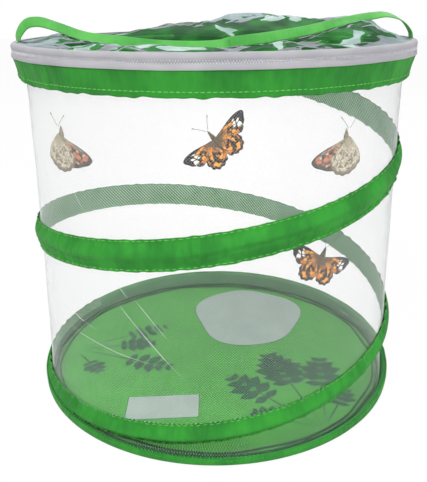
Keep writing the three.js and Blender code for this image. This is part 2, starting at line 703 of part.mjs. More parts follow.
const rim = new THREE.Group();
place(rim, 'top_band', topBand(), GREEN_FABRIC);
place(rim, 'top_hoop_wire', hoopWire(rimHoopRadius, rimHoopHeight, rimJointAngle), SPRING_STEEL);
const rimFerrule = ferrule([rimHoopRadius, rimHoopHeight], [coilTopRadius, coilTopHeight]);
place(rim, 'top_hoop_ferrule', rimFerrule, CRIMPED_METAL, rimJointAngle);
place(rim, 'zip_tape_lower', zipTape(lowerTapeFoot, lowerTapeTop), WHITE_TAPE);
place(rim, 'zip_teeth_lower', zipTeeth(lowerTeeth), WHITE_TEETH);

const lid = new THREE.Group();
place(lid, 'lid_film', lidFilm(), CLEAR_FILM);
place(lid, 'zip_tape_upper', zipTape(upperTapeTop, upperTapeFoot), WHITE_TAPE);
place(lid, 'zip_teeth_upper', zipTeeth(upperTeeth), WHITE_TEETH);
place(lid, 'lid_hinge_strip', hingeStrip(), WHITE_TAPE);
place(lid, 'hanging_strap', hangingStrap(), GREEN_RIBBON);

for (const [side, sign] of [['right', 1], ['left', -1]]) {
  const angle = sign * (ZIP_END_ANGLE + stopAngle / 2);
  place(rim, `zip_stop_lower_${side}`, zipStop(lowerTeeth), NICKEL, angle);
  place(lid, `zip_stop_upper_${side}`, zipStop(upperTeeth), NICKEL, angle);
}

const runner = new THREE.Group();
place(runner, 'zip_slider', zipSlider(), NICKEL, SLIDER_PARK_ANGLE);
place(runner, 'zip_pull', zipPull(), NICKEL, SLIDER_PARK_ANGLE);

habitat.add(base, wall, rim, lid, runner);

console.log(`least gap between the coil's turns: ${coilSelfGap().toFixed(1)} mm`);

export default habitat;
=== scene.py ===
"""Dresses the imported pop-up butterfly habitat: fabric, netting, film, zip and wire, in metres."""

from __future__ import annotations

import logging
import math
from dataclasses import dataclass, field
from enum import Enum
from typing import Any, Mapping, Optional, Sequence, Union

import bpy
import numpy as np
from mathutils import Euler, Matrix, Vector

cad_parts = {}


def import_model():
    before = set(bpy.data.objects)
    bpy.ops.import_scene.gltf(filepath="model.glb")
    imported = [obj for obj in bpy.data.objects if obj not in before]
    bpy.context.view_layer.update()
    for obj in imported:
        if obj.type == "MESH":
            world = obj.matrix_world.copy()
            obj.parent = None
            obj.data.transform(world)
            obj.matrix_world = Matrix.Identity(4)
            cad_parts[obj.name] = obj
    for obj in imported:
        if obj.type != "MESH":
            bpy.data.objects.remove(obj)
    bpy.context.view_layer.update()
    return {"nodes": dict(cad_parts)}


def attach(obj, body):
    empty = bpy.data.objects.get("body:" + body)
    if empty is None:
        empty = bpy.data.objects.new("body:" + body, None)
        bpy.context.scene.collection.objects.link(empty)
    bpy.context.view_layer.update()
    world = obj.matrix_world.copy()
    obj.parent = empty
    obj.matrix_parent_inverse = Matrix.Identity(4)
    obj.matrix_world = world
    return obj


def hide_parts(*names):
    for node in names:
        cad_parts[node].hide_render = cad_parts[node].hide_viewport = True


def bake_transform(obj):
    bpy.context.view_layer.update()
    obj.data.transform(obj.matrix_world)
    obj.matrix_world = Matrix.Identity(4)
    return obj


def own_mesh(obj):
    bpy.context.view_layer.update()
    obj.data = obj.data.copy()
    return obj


Array = np.ndarray
Colour = tuple[float, float, float, float]
Rows = tuple[tuple[float, ...], ...]
Shape = tuple[Array, Array]

LOG = logging.getLogger("habitat")
MM = 0.001
TAU = 2 * math.pi
LAY = "lay"
WHITE: Colour = (1.0, 1.0, 1.0, 1.0)
MATERIALS: dict[str, bpy.types.Material] = {}


def screen(red: int, green: int, blue: int) -> Colour:
    """Linear colour of a screen colour, whose levels run from 0 to 255."""
    share = np.array([red, green, blue]) / 255
    return (*np.where(share <= 0.04045, share / 12.92, ((share + 0.055) / 1.055) ** 2.4).tolist(), 1.0)


def smoothstep(value: Array, low: float, high: float) -> Array:
    """Rises from 0 at low to 1 at high along 3t^2 - 2t^3."""
    t = np.clip((value - low) / (high - low), 0, 1)
    return t * t * (3 - 2 * t)


def polar(angle: Array, radius: Array, height: Array) -> Array:
    """Points (r sin a, -r cos a, z), with the angle in radians from the front towards +X."""
    a, r, z = np.broadcast_arrays(angle, radius, height)
    return np.stack([r * np.sin(a), -r * np.cos(a), z], -1)


def ripple(angle: Array, waves: Sequence[tuple[float, int, float]]) -> Array:
    """Sum of size * sin(count * angle + phase) over waves of a size, a whole count and a phase."""
    size, count, phase = np.array(waves).T
    return (size * np.sin(np.asarray(angle)[..., None] * count + phase)).sum(-1)


def unit(vectors: Array) -> Array:
    """Vectors of length 1 in the same directions."""
    return vectors / np.linalg.norm(vectors, axis=-1, keepdims=True)


def lengths(points: Array) -> Array:
    """Length along a row of points, from 0 at the first."""
    steps = np.linalg.norm(np.diff(points, axis=0), axis=-1)
    return np.concatenate([[0.0], np.cumsum(steps)])


def around(step: float) -> Array:
    """Angles in radians round the habitat, this many degrees apart."""
    return np.radians(np.arange(0, 360, step))


def disc(radius: float, count: int) -> tuple[Array, Array, Array]:
    """A square grid pressed into a disc: x = u sqrt(1 - v^2/2) and y = v sqrt(1 - u^2/2), times the radius.

    Args:
        radius: Of the disc.
        count: Points along a side of the grid.

    Returns:
        x and y of the grid's points, and the lay along a side.
    """
    share = np.linspace(-1, 1, count)
    u, v = np.meshgrid(share, share, indexing="ij")
    x = u * np.sqrt(1 - v * v / 2) * radius
    y = v * np.sqrt(1 - u * u / 2) * radius
    return x, y, share * radius


# Shader nodes

Operand = Union["Socket", float, Sequence[float]]


class Socket:
    """An output of a node, whose operators add Math nodes to its tree."""

    def __init__(self, tree: bpy.types.NodeTree, output: Optional[bpy.types.NodeSocket] = None) -> None:
        """Keeps the tree, and the output that the operators read, if any."""
        self.tree = tree
        self.output = output

    def node(
        self,
        kind: str,
        inputs: Mapping[Union[str, int], Operand],
        output: Optional[Union[str, int]] = 0,
        **settings: Any,
    ) -> Socket:
        """Adds any node.

        Args:
            kind: Blender's type name of the node.
            inputs: Values or links of its sockets, by name or place.
            output: Name or place of the output to return, or None where it has none.
            settings: Its settings, set before its sockets.

        Returns:
            That output.
        """
        made = self.tree.nodes.new(kind)
        for name, value in settings.items():
            setattr(made, name, value)
        for name, value in inputs.items():
            if isinstance(value, Socket):
                self.tree.links.new(value.output, made.inputs[name])
            else:
                made.inputs[name].default_value = value
        return Socket(self.tree, None if output is None else made.outputs[output])

    def other(self, output: Union[str, int]) -> Socket:
        """Another output of the same node."""
        return Socket(self.tree, self.output.node.outputs[output])

    def math(self, operation: str, *operands: Operand) -> Socket:
        """Adds a Math node on one or two operands."""
        return self.node("ShaderNodeMath", dict(enumerate(operands)), operation=operation)

    def __add__(self, other: Operand) -> Socket:
        """Sum."""
        return self.math("ADD", self, other)

    def __sub__(self, other: Operand) -> Socket:
        """Difference."""
        return self.math("SUBTRACT", self, other)

    def __mul__(self, other: Operand) -> Socket:
        """Product."""
        return self.math("MULTIPLY", self, other)

    def __truediv__(self, other: Operand) -> Socket:
        """Quotient."""
        return self.math("DIVIDE", self, other)

    def over(self, other: Operand) -> Socket:
        """The larger of the two values."""
        return self.math("MAXIMUM", self, other)

    def wave(self) -> Socket:
        """Sine of this value."""
        return self.math("SINE", self)

    def fold(self) -> Socket:
        """Distance to the nearest whole number, from 0 to 0.5."""
        return self.math("PINGPONG", self, 0.5)

    def step(self, low: float, high: float) -> Socket:
        """Runs smoothly from 0 at low to 1 at high, also where low is above high.

        Args:
            low: Value where it is 0.
            high: Value where it is 1.

        Returns:
            The step.
        """
        ends = {"Value": self, "From Min": min(low, high), "From Max": max(low, high)}
        turned = {"To Min": float(low > high), "To Max": float(low < high)}
        return self.node("ShaderNodeMapRange", {**ends, **turned}, interpolation_type="SMOOTHSTEP")

    def mix(self, low: Operand, high: Operand) -> Socket:
        """Mixes two colours: low where this value is 0, high where it is 1."""
        return self.node("ShaderNodeMix", {0: self, 6: low, 7: high}, 2, data_type="RGBA")

    def lay(self) -> tuple[Socket, Socket]:
        """The two coordinates of the piece's own lay: metres, or shares on a wing."""
        first = self.node("ShaderNodeSeparateXYZ", {0: self.node("ShaderNodeUVMap", {}, uv_map=LAY)})
        return first, first.other(1)

    def strands(self, pitch: float) -> tuple[Socket, Socket]:
        """Distances in pitches from strands where u + v, or u - v, is a whole number of pitches."""
        along, across = self.lay()
        return ((along + across) / pitch).fold(), ((along - across) / pitch).fold()

    def place(self) -> Socket:
        """Place in object space."""
        return self.node("ShaderNodeTexCoord", {}, "Object")

    def noise(self, scale: float, detail: float, output: Union[str, int] = 0) -> Socket:
        """Noise at this vector, by its blotches to a unit and its octaves."""
        return self.node("ShaderNodeTexNoise", {"Vector": self, "Scale": scale, "Detail": detail}, output)

    def cloud(self, scale: float, detail: float = 3.0) -> Socket:
        """Noise in object space, from 0 to 1 and mostly near 0.5."""
        return self.place().noise(scale, detail)

    def facets(self, scale: float) -> tuple[Socket, Socket, Socket]:
        """Cells round scattered points at this vector.

        Args:
            scale: Cells to a unit.

        Returns:
            Two chances, each the same all over a cell, and the distance to the nearest cell's edge.
        """
        inputs = {"Vector": self, "Scale": scale}
        cells = self.node("ShaderNodeTexVoronoi", inputs, "Color")
        first = self.node("ShaderNodeSeparateColor", {0: cells})
        edge = self.node("ShaderNodeTexVoronoi", inputs, feature="DISTANCE_TO_EDGE")
        return first, first.other(1), edge

    def attribute(self, name: str) -> Socket:
        """A number that the mesh keeps at each point."""
        return self.node("ShaderNodeAttribute", {}, "Fac", attribute_name=name)

    def bump(self, distance: float, strength: float = 1.0) -> Socket:
        """Normal that this value turns, as a height of the distance in metres where it is 1."""
        return self.node("ShaderNodeBump", {"Strength": strength, "Distance": distance, "Height": self})

    def principled(self, inputs: Mapping[str, Operand]) -> Socket:
        """A Principled shader."""
        return self.node("ShaderNodeBsdfPrincipled", inputs)


# Finishes


@dataclass(frozen=True)
class Finish:
    """A named finish, whose shader each kind gives."""

    name: str

    def shader(self, root: Socket) -> Socket:
        """The finish's shader; each kind has its own."""
        raise NotImplementedError

    def material(self) -> bpy.types.Material:
        """The finish's material, made on its first use.

        Returns:
            The material.
        """
        if self.name in MATERIALS:
            return MATERIALS[self.name]
        made = bpy.data.materials.new(f"finish_{self.name}")
        MATERIALS[self.name] = made
        made.use_nodes = True
        made.node_tree.nodes.clear()
        root = Socket(made.node_tree)
        root.node("ShaderNodeOutputMaterial", {"Surface": self.shader(root)}, None)
        return made


@dataclass(frozen=True)
class Cloth(Finish):
    """Plain-woven cloth: threads on the lay, slow colour change over the piece, and painted shade in its
    gathers.
    """

    light: Colour
    dark: Colour
    pitch: float
    roughness: float = 0.75
    sheen: float = 0.03
    wrinkle_relief_and_shade: float = 0.0
    relief: float = 0.00012
    blotches: float = 38.0
    gathers_along: float = 170.0
    gathers_across: float = 45.0

    def shader(self, root: Socket) -> Socket:
        """Threads sin(u) sin(v), and gathers across the lay, turn the normal and shade the colour, the
        gathers' shade being painted.

        Args:
            root: The material's tree.

        Returns:
            The shader.
        """
        along, across = root.lay()
        turn = TAU / self.pitch
        threads = (along * turn).wave() * (across * turn).wave()
        patches = root.cloud(self.blotches).step(0.3, 0.7)
        lay = {0: along * self.gathers_along, 1: across * self.gathers_across}
        gathers = root.node("ShaderNodeCombineXYZ", lay).noise(1.0, 2.0)
        # Blotches vary the tone at random and threads draw the weave; the gathers' term paints shade, darker
        # and lighter streaks in the gathers.
        tone_and_painted_shade = patches * 0.6 + threads * 0.15 + 0.2 + (gathers - 0.5) * (self.wrinkle_relief_and_shade * 120)
        height = threads * self.relief + gathers * self.wrinkle_relief_and_shade
        return root.principled({
            "Base Color": tone_and_painted_shade.step(0.0, 1.0).mix(self.dark, self.light),
            "Roughness": self.roughness,
            "Sheen Weight": self.sheen,
            "Specular IOR Level": 0.3,
            "Normal": height.bump(1.0, 0.6),
        })


@dataclass(frozen=True)
class Netting(Finish):
    """Fine diamond netting: strands on the lay, open between them, and closed on a crease."""

    light: Colour
    pitch: float
    strand: float

    def shader(self, root: Socket) -> Socket:
        """Strands show where their distance in pitches is under half a strand.

        Args:
            root: The material's tree.

        Returns:
            The shader.
        """
        half = self.strand / 2
        rising, falling = (strand.step(half * 1.3, half * 0.7) for strand in root.strands(self.pitch))
        return root.principled({
            "Base Color": root.cloud(60.0).mix(self.light, WHITE),
            "Roughness": 0.6,
            "Specular IOR Level": 0.3,
            "Alpha": rising.over(falling).over(root.attribute("crease")),
        })


@dataclass(frozen=True)
class Backing(Finish):
    """Cloth under netting that is pressed on it: pale strands on the lay over the cloth's colour."""

    cloth: Colour
    strand: Colour
    pitch: float
    share: float

    def shader(self, root: Socket) -> Socket:
        """Worn strands show where their distance in pitches is under half their share.

        Args:
            root: The material's tree.

        Returns:
            The shader.
        """
        worn = root.cloud(50.0) * 0.2 + self.share / 2 - 0.1
        rising, falling = root.strands(self.pitch)
        net = (rising - worn).step(0.05, -0.05).over((falling - worn * 0.5).step(0.05, -0.05) * 0.5)
        return root.principled({
            "Base Color": net.mix(self.cloth, self.strand),
            "Roughness": 0.7,
            "Specular IOR Level": 0.2,
            "Normal": net.bump(0.0001, 0.5),
        })


@dataclass(frozen=True)
class ClearFilm(Finish):
    """Clear crumpled film: facets that lean back carry a painted green reflection of the casing, others carry
    painted highlights or are clear.
    """

    tint: Colour
    painted_glare: Colour
    painted_glint: Colour
    painted_reflection_light: Colour
    painted_reflection_dark: Colour
    haze: Colour
    roughness: float = 0.16
    veil: float = 0.36
    painted_reflection_share: float = 0.74
    facets: float = 44.0

    def shader(self, root: Socket) -> Socket:
        """A facet's lean and chance set whether it carries a painted green reflection, a painted highlight,
        or is seen through.

        Args:
            root: The material's tree.

        Returns:
            The shader.
        """
        place = root.place()
        warp = place.noise(24.0, 2.0, "Color")
        bent = root.node("ShaderNodeVectorMath", {0: warp, "Scale": 0.07}, operation="SCALE")
        tone, second, edge = root.node("ShaderNodeVectorMath", {0: place, 1: bent}).facets(self.facets)
        fine = root.cloud(70.0)
        normal = fine.bump(0.001, 0.5)
        slant = root.node("ShaderNodeLayerWeight", {"Blend": 0.3, "Normal": normal}, "Fresnel")
        crease, lean, clear = (root.attribute(name) for name in ("crease", "lean", "clear"))
        # Painted highlights along the film's creases.
        painted_crease_glint = crease.step(0.3, 0.9) * fine.step(0.45, 0.6) * 0.1
        # bright marks painted highlights on some facets' edges and along creases, where a coat is added too.
        bright = (second.step(0.66, 0.67) * edge.step(0.12, 0.15)).over(painted_crease_glint)
        # green marks the facets that carry a painted reflection of the green casing.
        green = (lean * 0.9 + tone * 0.4 + root.cloud(48.0, 2.0) * 0.2 - clear * 0.35).step(0.83, 0.87)
        # deep gives that painted reflection a darker and a lighter green.
        deep = (root.cloud(60.0, 2.0) + second * 0.4).step(0.55, 0.9).mix(self.painted_reflection_dark, self.painted_reflection_light)
        # pale mixes the film's haze towards a painted highlight colour where the film is clear.
        pale = (clear * 0.7).mix(self.haze, self.painted_glare)
        through = root.node("ShaderNodeBsdfTransparent", {"Color": self.tint})
        shine = root.principled({
            "Base Color": bright.mix(green.mix(pale, deep), self.painted_glint),
            "Roughness": self.roughness,
            "Specular IOR Level": 0.0,
            "Coat Weight": bright * 0.5,
            "Normal": normal,
        })
        share = (slant * 0.5 + crease * 0.15 + self.veil).over(green * self.painted_reflection_share).over(bright * 0.9)
        return root.node("ShaderNodeMixShader", {0: share, 1: through, 2: shine})


@dataclass(frozen=True)
class Metal(Finish):
    """Bare metal with fine drawing marks."""

    light: Colour
    dark: Colour
    roughness: float
    grain: float = 900.0

    def shader(self, root: Socket) -> Socket:
        """Noise in object space shades the colour, the roughness and the normal.

        Args:
            root: The material's tree.

        Returns:
            The shader.
        """
        grain = root.cloud(self.grain, 4.0)
        return root.principled({
            "Base Color": root.cloud(120.0, 2.0).step(0.35, 0.7).mix(self.dark, self.light),
            "Metallic": 1.0,
            "Roughness": grain * 0.2 + self.roughness,
            "Normal": grain.bump(0.00003, 0.4),
        })


@dataclass(frozen=True)
class Filament(Finish):
    """Thread, coil or body hair: a small shape whose colour varies a little."""

    light: Colour
    dark: Colour
    roughness: float = 0.6
    grain: float = 700.0

    def shader(self, root: Socket) -> Socket:
        """Noise in object space shades the colour and the normal.

        Args:
            root: The material's tree.

        Returns:
            The shader.
        """
        grain = root.cloud(self.grain)
        return root.principled({
            "Base Color": grain.step(0.3, 0.7).mix(self.dark, self.light),
            "Roughness": self.roughness,
            "Normal": grain.bump(0.00005, 0.4),
        })


@dataclass(frozen=True)
class WingScales(Finish):
    """Wing scales, by share of the way out and share of the way to the leading edge."""

    ground: Colour
    bright: Colour
    root_hair: Colour
    dark: Colour
    pale: Colour
    tip: float
    crowd: float
    mottle: float = 1.0

    def shader(self, root: Socket) -> Socket:
        """Cells of dark and bright scales between hairy root and dark margin, pale spots at the tip.

        Args:
            root: The material's tree.

        Returns:
            The shader.
        """
        out, lead = root.lay()
        lay = {0: out * (7.0 * self.mottle), 1: lead * (6.0 * self.mottle)}
        spread = root.node("ShaderNodeCombineXYZ", lay)
        chance, second, edges = spread.facets(1.0)
        fine = spread.noise(2.5, 3.0)
        hair = (out + fine * 0.25).step(0.56, 0.36)
        margin = (out + fine * 0.1).step(0.92, 0.98)
        tip = lead.step(self.tip, self.tip + 0.08) * out.step(0.6, 0.68)
        blotch = chance.step(self.crowd, self.crowd - 0.04) * out.step(0.36, 0.46)
        lines = (edges + fine * 0.06).step(0.12, 0.07)
        spots = second.step(0.68, 0.72) * tip * (edges + fine * 0.05).step(0.09, 0.14)
        plain = hair.mix(second.mix(self.ground, self.bright), self.root_hair)
        marked = margin.over(tip).over(blotch).over(lines * 0.95).mix(plain, self.dark)
        return root.principled({
            "Base Color": spots.mix(marked, self.pale),
            "Roughness": 0.7,
            "Sheen Weight": 0.05,
            "Normal": fine.bump(0.0002, 0.4),
        })


GREEN = Cloth("green_cloth", screen(46, 148, 44), screen(28, 116, 34), 1.1 * MM, wrinkle_relief_and_shade=0.0055)
FLOOR = Cloth("floor_cloth", screen(68, 164, 56), screen(58, 150, 48), 1.2 * MM, 0.7, 0.02, 0.001)
RIBBON = Cloth("ribbon", screen(87, 178, 76), screen(51, 143, 48), 0.9 * MM, 0.5, 0.05, 0.002)
TAPE = Cloth("zip_tape", screen(172, 171, 175), screen(158, 157, 162), 0.9 * MM, 0.7)
PRINT = Cloth("plant_print", screen(10, 90, 52), screen(6, 76, 42), 1.2 * MM, 0.7, 0.0)
PALE_PRINT = Cloth("pale_print", screen(170, 187, 178), screen(158, 175, 167), 1.2 * MM, 0.7, 0.0)
# The seams' very dark green is partly their own cloth and partly painted shade along the floor's edge.
SEAM_PAINTED_SHADE = Cloth("floor_seam_painted_shade", screen(8, 94, 38), screen(4, 74, 30), 0.8 * MM)
NET = Netting("white_net", screen(246, 246, 247), 2.0 * MM, 0.032)
BACKING = Backing("sleeve_backing", screen(36, 142, 54), screen(236, 250, 240), 3.4 * MM, 0.28)
LINING = Backing("binding_lining", screen(24, 112, 38), screen(128, 196, 140), 3.0 * MM, 0.2)
# Film colours in order: tint, two painted highlight colours, a lighter and a darker painted reflection of the
# green casing, and the haze.
FILM = ClearFilm("clear_film", (0.93, 0.95, 0.94, 1.0), screen(186, 208, 210), screen(132, 164, 156),
                 screen(42, 128, 46), screen(24, 78, 34), screen(158, 156, 168))
STEEL = Metal("spring_steel", screen(176, 180, 186), screen(140, 144, 150), 0.28)
CRIMP = Metal("crimped_metal", screen(204, 205, 206), screen(170, 172, 174), 0.35)
NICKEL = Metal("nickel_plate", screen(220, 219, 216), screen(196, 195, 192), 0.18)
TEETH = Filament("coil_teeth", screen(204, 203, 209), screen(180, 179, 187), 0.35)
THREAD = Filament("pale_thread", screen(120, 200, 94), screen(90, 176, 70))
# Greyer than the netting: painted shade on the upright threads, seen at the netting's sides.
NET_THREAD_PAINTED_SHADE = Filament("net_thread", screen(224, 224, 226), screen(212, 212, 215))
DULL_THREAD = Filament("green_thread", screen(60, 158, 54), screen(40, 134, 44))
HAIR = Filament("insect_body", screen(108, 92, 66), screen(56, 48, 36), 0.8)
PALE_HAIR = Filament("resting_insect_body", screen(172, 162, 136), screen(126, 114, 90), 0.8)
UPPER_FORE = WingScales(
    "upper_forewing", screen(216, 112, 32), screen(238, 170, 60), screen(112, 88, 56), screen(22, 18, 18),
    screen(242, 240, 232), 0.34, 0.44,
)
UPPER_HIND = WingScales(
    "upper_hindwing", screen(214, 118, 36), screen(236, 164, 58), screen(118, 98, 66), screen(26, 20, 18),
    screen(230, 220, 196), 1.2, 0.42,
)
UNDER_FORE = WingScales(
    "under_forewing", screen(206, 104, 70), screen(214, 200, 168), screen(166, 156, 128), screen(74, 66, 58),
    screen(236, 232, 220), 0.84, 0.34, 1.4,
)
UNDER_HIND = WingScales(
    "under_hindwing", screen(196, 188, 164), screen(226, 218, 196), screen(176, 166, 138),
    screen(126, 116, 94), screen(236, 232, 220), 1.2, 0.3, 2.0,
)


# Surfaces


def mesh_piece(name: str, points: Array, faces: Array, lay: Optional[Array] = None) -> bpy.types.Object:
    """A smooth mesh from whole arrays, linked to the scene.

    Args:
        name: Name of the piece.
        points: Points, three numbers each.
        faces: Four point numbers for each face.
        lay: Two lay coordinates for each face corner, in the order of the faces.

    Returns:
        The object.
    """
    mesh = bpy.data.meshes.new(name)
    mesh.from_pydata(points.reshape(-1, 3).tolist(), [], faces.reshape(-1, 4).tolist())
    if lay is not None:
        layer = mesh.uv_layers.new(name=LAY)
        layer.data.foreach_set("uv", np.ascontiguousarray(lay, np.float32).ravel())
    mesh.polygons.foreach_set("use_smooth", np.ones(len(mesh.polygons), bool))
    mesh.update()
    obj = bpy.data.objects.new(name, mesh)
    bpy.context.scene.collection.objects.link(obj)
    return obj


def corners(rows: int, columns: int, closed_u: bool = False, closed_v: bool = False) -> tuple[Array, Array]:
    """Rows and columns of the corners (i, j), (i+1, j), (i+1, j+1) and (i, j+1) of a grid's faces."""
    i, j = np.meshgrid(np.arange(rows - 1 + closed_u), np.arange(columns - 1 + closed_v), indexing="ij")
    return np.stack([i, i + 1, i + 1, i], -1), np.stack([j, j, j + 1, j + 1], -1)


def grid_faces(count: int, rows: int, columns: int) -> Array:
    """Faces of several equal open grids, whose points follow each other."""
    row, column = corners(rows, columns)
    return (row * columns + column).reshape(1, -1, 4) + rows * columns * np.arange(count)[:, None, None]


@dataclass
class Surface:
    """A grid of points with its lay, closed or open in each direction, and numbers for its points."""

    points: Array
    u: Array
    v: Array
    closed_u: bool = False
    closed_v: bool = False
    values: dict[str, Array] = field(default_factory=dict)

    def build(self, name: str) -> bpy.types.Object:
        """Joins the grid's points by faces.

        Args:
            name: Name of the piece.

        Returns:
            The object, linked to the scene.
        """
        rows, columns = self.points.shape[:2]
        row, column = corners(rows, columns, self.closed_u, self.closed_v)
        faces = (row % rows) * columns + column % columns
        obj = mesh_piece(name, self.points, faces, np.stack([self.u[row], self.v[column]], -1))
        for label, value in self.values.items():
            attribute = obj.data.attributes.new(label, "FLOAT", "POINT")
            attribute.data.foreach_set("value", np.ascontiguousarray(value, np.float32).ravel())
        return obj


def settle(
    obj: bpy.types.Object,
    finish: Finish,
    body: Optional[str] = None,
    nodes: Sequence[str] = (),
    thickness: float = 0.0,
) -> bpy.types.Object:
    """Dresses a finished piece and says what it rides on and stands for.

    Args:
        obj: The piece.
        finish: Its finish.
        body: Body that carries it, or None.
        nodes: Nodes that it replaces.
        thickness: Of a sheet, behind its faces.

    Returns:
        The same piece.
    """
    if thickness:
        wall = obj.modifiers.new("thickness", "SOLIDIFY")
        wall.thickness = thickness
        wall.offset = -1.0
    obj.data.materials.append(finish.material())
    if body is not None:
        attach(obj, body)
    if nodes:
        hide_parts(*nodes)
    LOG.info("%s: %d faces, %s", obj.name, len(obj.data.polygons), finish.name)
    return obj


def capsule(length: float, width: float, height: float, sides: int = 6) -> Shape:
    """A rounded bar: elliptic rings at -1/2, -1/3, 1/3 and 1/2 of its length, the outer ones small.

    Args:
        length: Along its first axis.
        width: Along its second axis.
        height: Along its third axis.
        sides: Corners of a ring, an even number.

    Returns:
        Its points and its four-cornered faces.
    """
    stations = np.array([-0.5, -0.34, 0.34, 0.5]) * length
    swell = np.array([0.5, 1.0, 1.0, 0.5])
    turn = np.arange(sides) * TAU / sides
    ring = np.stack([np.cos(turn) * width / 2, np.sin(turn) * height / 2], -1)
    points = np.empty((4, sides, 3))
    points[..., 0] = stations[:, None]
    points[..., 1:] = swell[:, None, None] * ring
    row, column = corners(4, sides, False, True)
    walls = (row * sides + column % sides)[..., [0, 3, 2, 1]]
    halves = np.arange(1, sides - 2, 2)
    cap = np.stack([np.zeros_like(halves), halves, halves + 1, halves + 2], -1)
    return points.reshape(-1, 3), np.concatenate([walls.reshape(-1, 4), cap[:, ::-1], cap + 3 * sides])


def repeat(name: str, shape: Shape, places: Array, along: Array, out: Array) -> bpy.types.Object:
    """One mesh of many copies: place + x along + y (out x along) + z out.

    Args:
        name: Name of the piece.
        shape: Points and faces of one copy.
        places: Middle of each copy.
        along: Direction of each copy's first axis.
        out: Direction that each copy's third axis leans to.

    Returns:
        The object.
    """
    points, faces = shape
    first = unit(along)
    third = unit(out - (out * first).sum(-1, keepdims=True) * first)
    axes = np.stack([first, np.cross(third, first), third], 1)
    everywhere = places[:, None] + np.einsum("pk,nkd->npd", points, axes)
    return mesh_piece(name, everywhere, faces + len(points) * np.arange(len(places))[:, None, None])


def tube(path: Array, radius: Array, sides: int, closed: bool) -> Surface:
    """A round profile carried along a path, its corners turned from the vertical.

    Args:
        path: Points of the middle line.
        radius: At each point.
        sides: Corners of the profile.
        closed: Whether the path joins up.

    Returns:
        The surface; an open one has ends drawn to a point.
    """
    if closed:
        tangent = np.roll(path, -1, 0) - np.roll(path, 1, 0)
    else:
        tangent = np.gradient(path, axis=0)
        radius = np.concatenate([[radius[0] * 0.02], radius[1:-1], [radius[-1] * 0.02]])
    forward = unit(tangent)
    side = unit(np.cross(forward, np.array([0.02, 0.03, 1.0])))
    up = np.cross(side, forward)
    turn = np.arange(sides + 1) * TAU / sides
    ring = np.cos(turn[:-1])[:, None] * side[:, None] + np.sin(turn[:-1])[:, None] * up[:, None]
    points = path[:, None] + np.asarray(radius)[:, None, None] * ring
    u = lengths(np.concatenate([path, path[:1]]) if closed else path)
    return Surface(points, u, turn * float(np.mean(radius)), closed, True)


# Shapes that several pieces share


@dataclass(frozen=True)
class Wall:
    """The netting's wall: a parabola through its foot, waist and top radius."""

    foot: float = 1.8 * MM
    top: float = 260.0 * MM
    foot_radius: float = 148.3 * MM
    waist_radius: float = 145.2 * MM
    top_radius: float = 143.4 * MM
    fine_below: float = 45.0 * MM

    def radius(self, z: Array) -> Array:
        """Outside radius at a height.

        Args:
            z: Height.

        Returns:
            Radius.
        """
        s = (np.asarray(z) - self.foot) / (self.top - self.foot)
        low = self.foot_radius * (1 - s) * (1 - 2 * s)
        return low + self.waist_radius * 4 * s * (1 - s) + self.top_radius * s * (2 * s - 1)

    def levels(self, low: int, high: int) -> Array:
        """Heights of a grid on the wall, low ones close together below and high ones above."""
        below = np.linspace(self.foot, self.fine_below, low)
        return np.concatenate([below, np.linspace(self.fine_below, self.top, high + 1)[1:]])


@dataclass(frozen=True)
class Collapse:
    """Sizes for the wall's fabric folding down as the rim sinks on the base."""

    travel: float = 240.0 * MM
    seam: float = 260.0 * MM
    coil_top: float = 267.7 * MM
    coil_folded: float = 14.0 * MM

    def follow(self, obj: bpy.types.Object) -> None:
        """Gives a piece on the netting its own copy of its mesh."""
        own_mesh(obj)

    def nest(self, obj: bpy.types.Object) -> None:
        """Gives a piece of the coil its own copy of its mesh."""
        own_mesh(obj)


@dataclass(frozen=True)
class Coil:
    """Middle line of the coiled wire: a leaning helix that eases into both hoops, its angles in degrees."""

    foot: float = 5.2 * MM
    top: float = 266.9 * MM
    front: float = 169.2 * MM
    rise: float = 0.3867 * MM
    lean: float = 7.0 * MM
    lead_in: float = 195.0
    top_angle: float = 255.0
    lead_out: float = -352.5
    foot_angle: float = -600.0
    stand: float = 1.3 * MM

    def helix(self, angle: Array) -> Array:
        """front + rise * angle - lean * cos(angle)."""
        return self.front + self.rise * angle - self.lean * np.cos(np.radians(angle))

    def eased(self, angle: Array, leave: float, end: float, height: float) -> Array:
        """Leaves the helix without a kink and runs level into a hoop.

        Args:
            angle: Degrees.
            leave: Where it leaves the helix.
            end: Where it is level.
            height: Height there.

        Returns:
            Height at each angle: height + drop * left ** power.
        """
        left = np.clip((end - angle) / (end - leave), 0, 1)
        drop = float(self.helix(np.array(leave))) - height
        slope = self.rise + self.lean * math.sin(math.radians(leave)) * math.radians(1)
        return height + drop * left ** max(slope * (leave - end) / drop, 1.0)

    def height(self, angle: Array) -> Array:
        """Height of the wire's middle.

        Args:
            angle: Degrees from the front, falling as the coil goes down.

        Returns:
            Height at each angle.
        """
        upper = self.eased(angle, self.lead_in, self.top_angle, self.top)
        lower = self.eased(angle, self.lead_out, self.foot_angle, self.foot)
        ends = np.where(angle < self.lead_out, lower, self.helix(angle))
        return np.where(angle > self.lead_in, upper, ends)


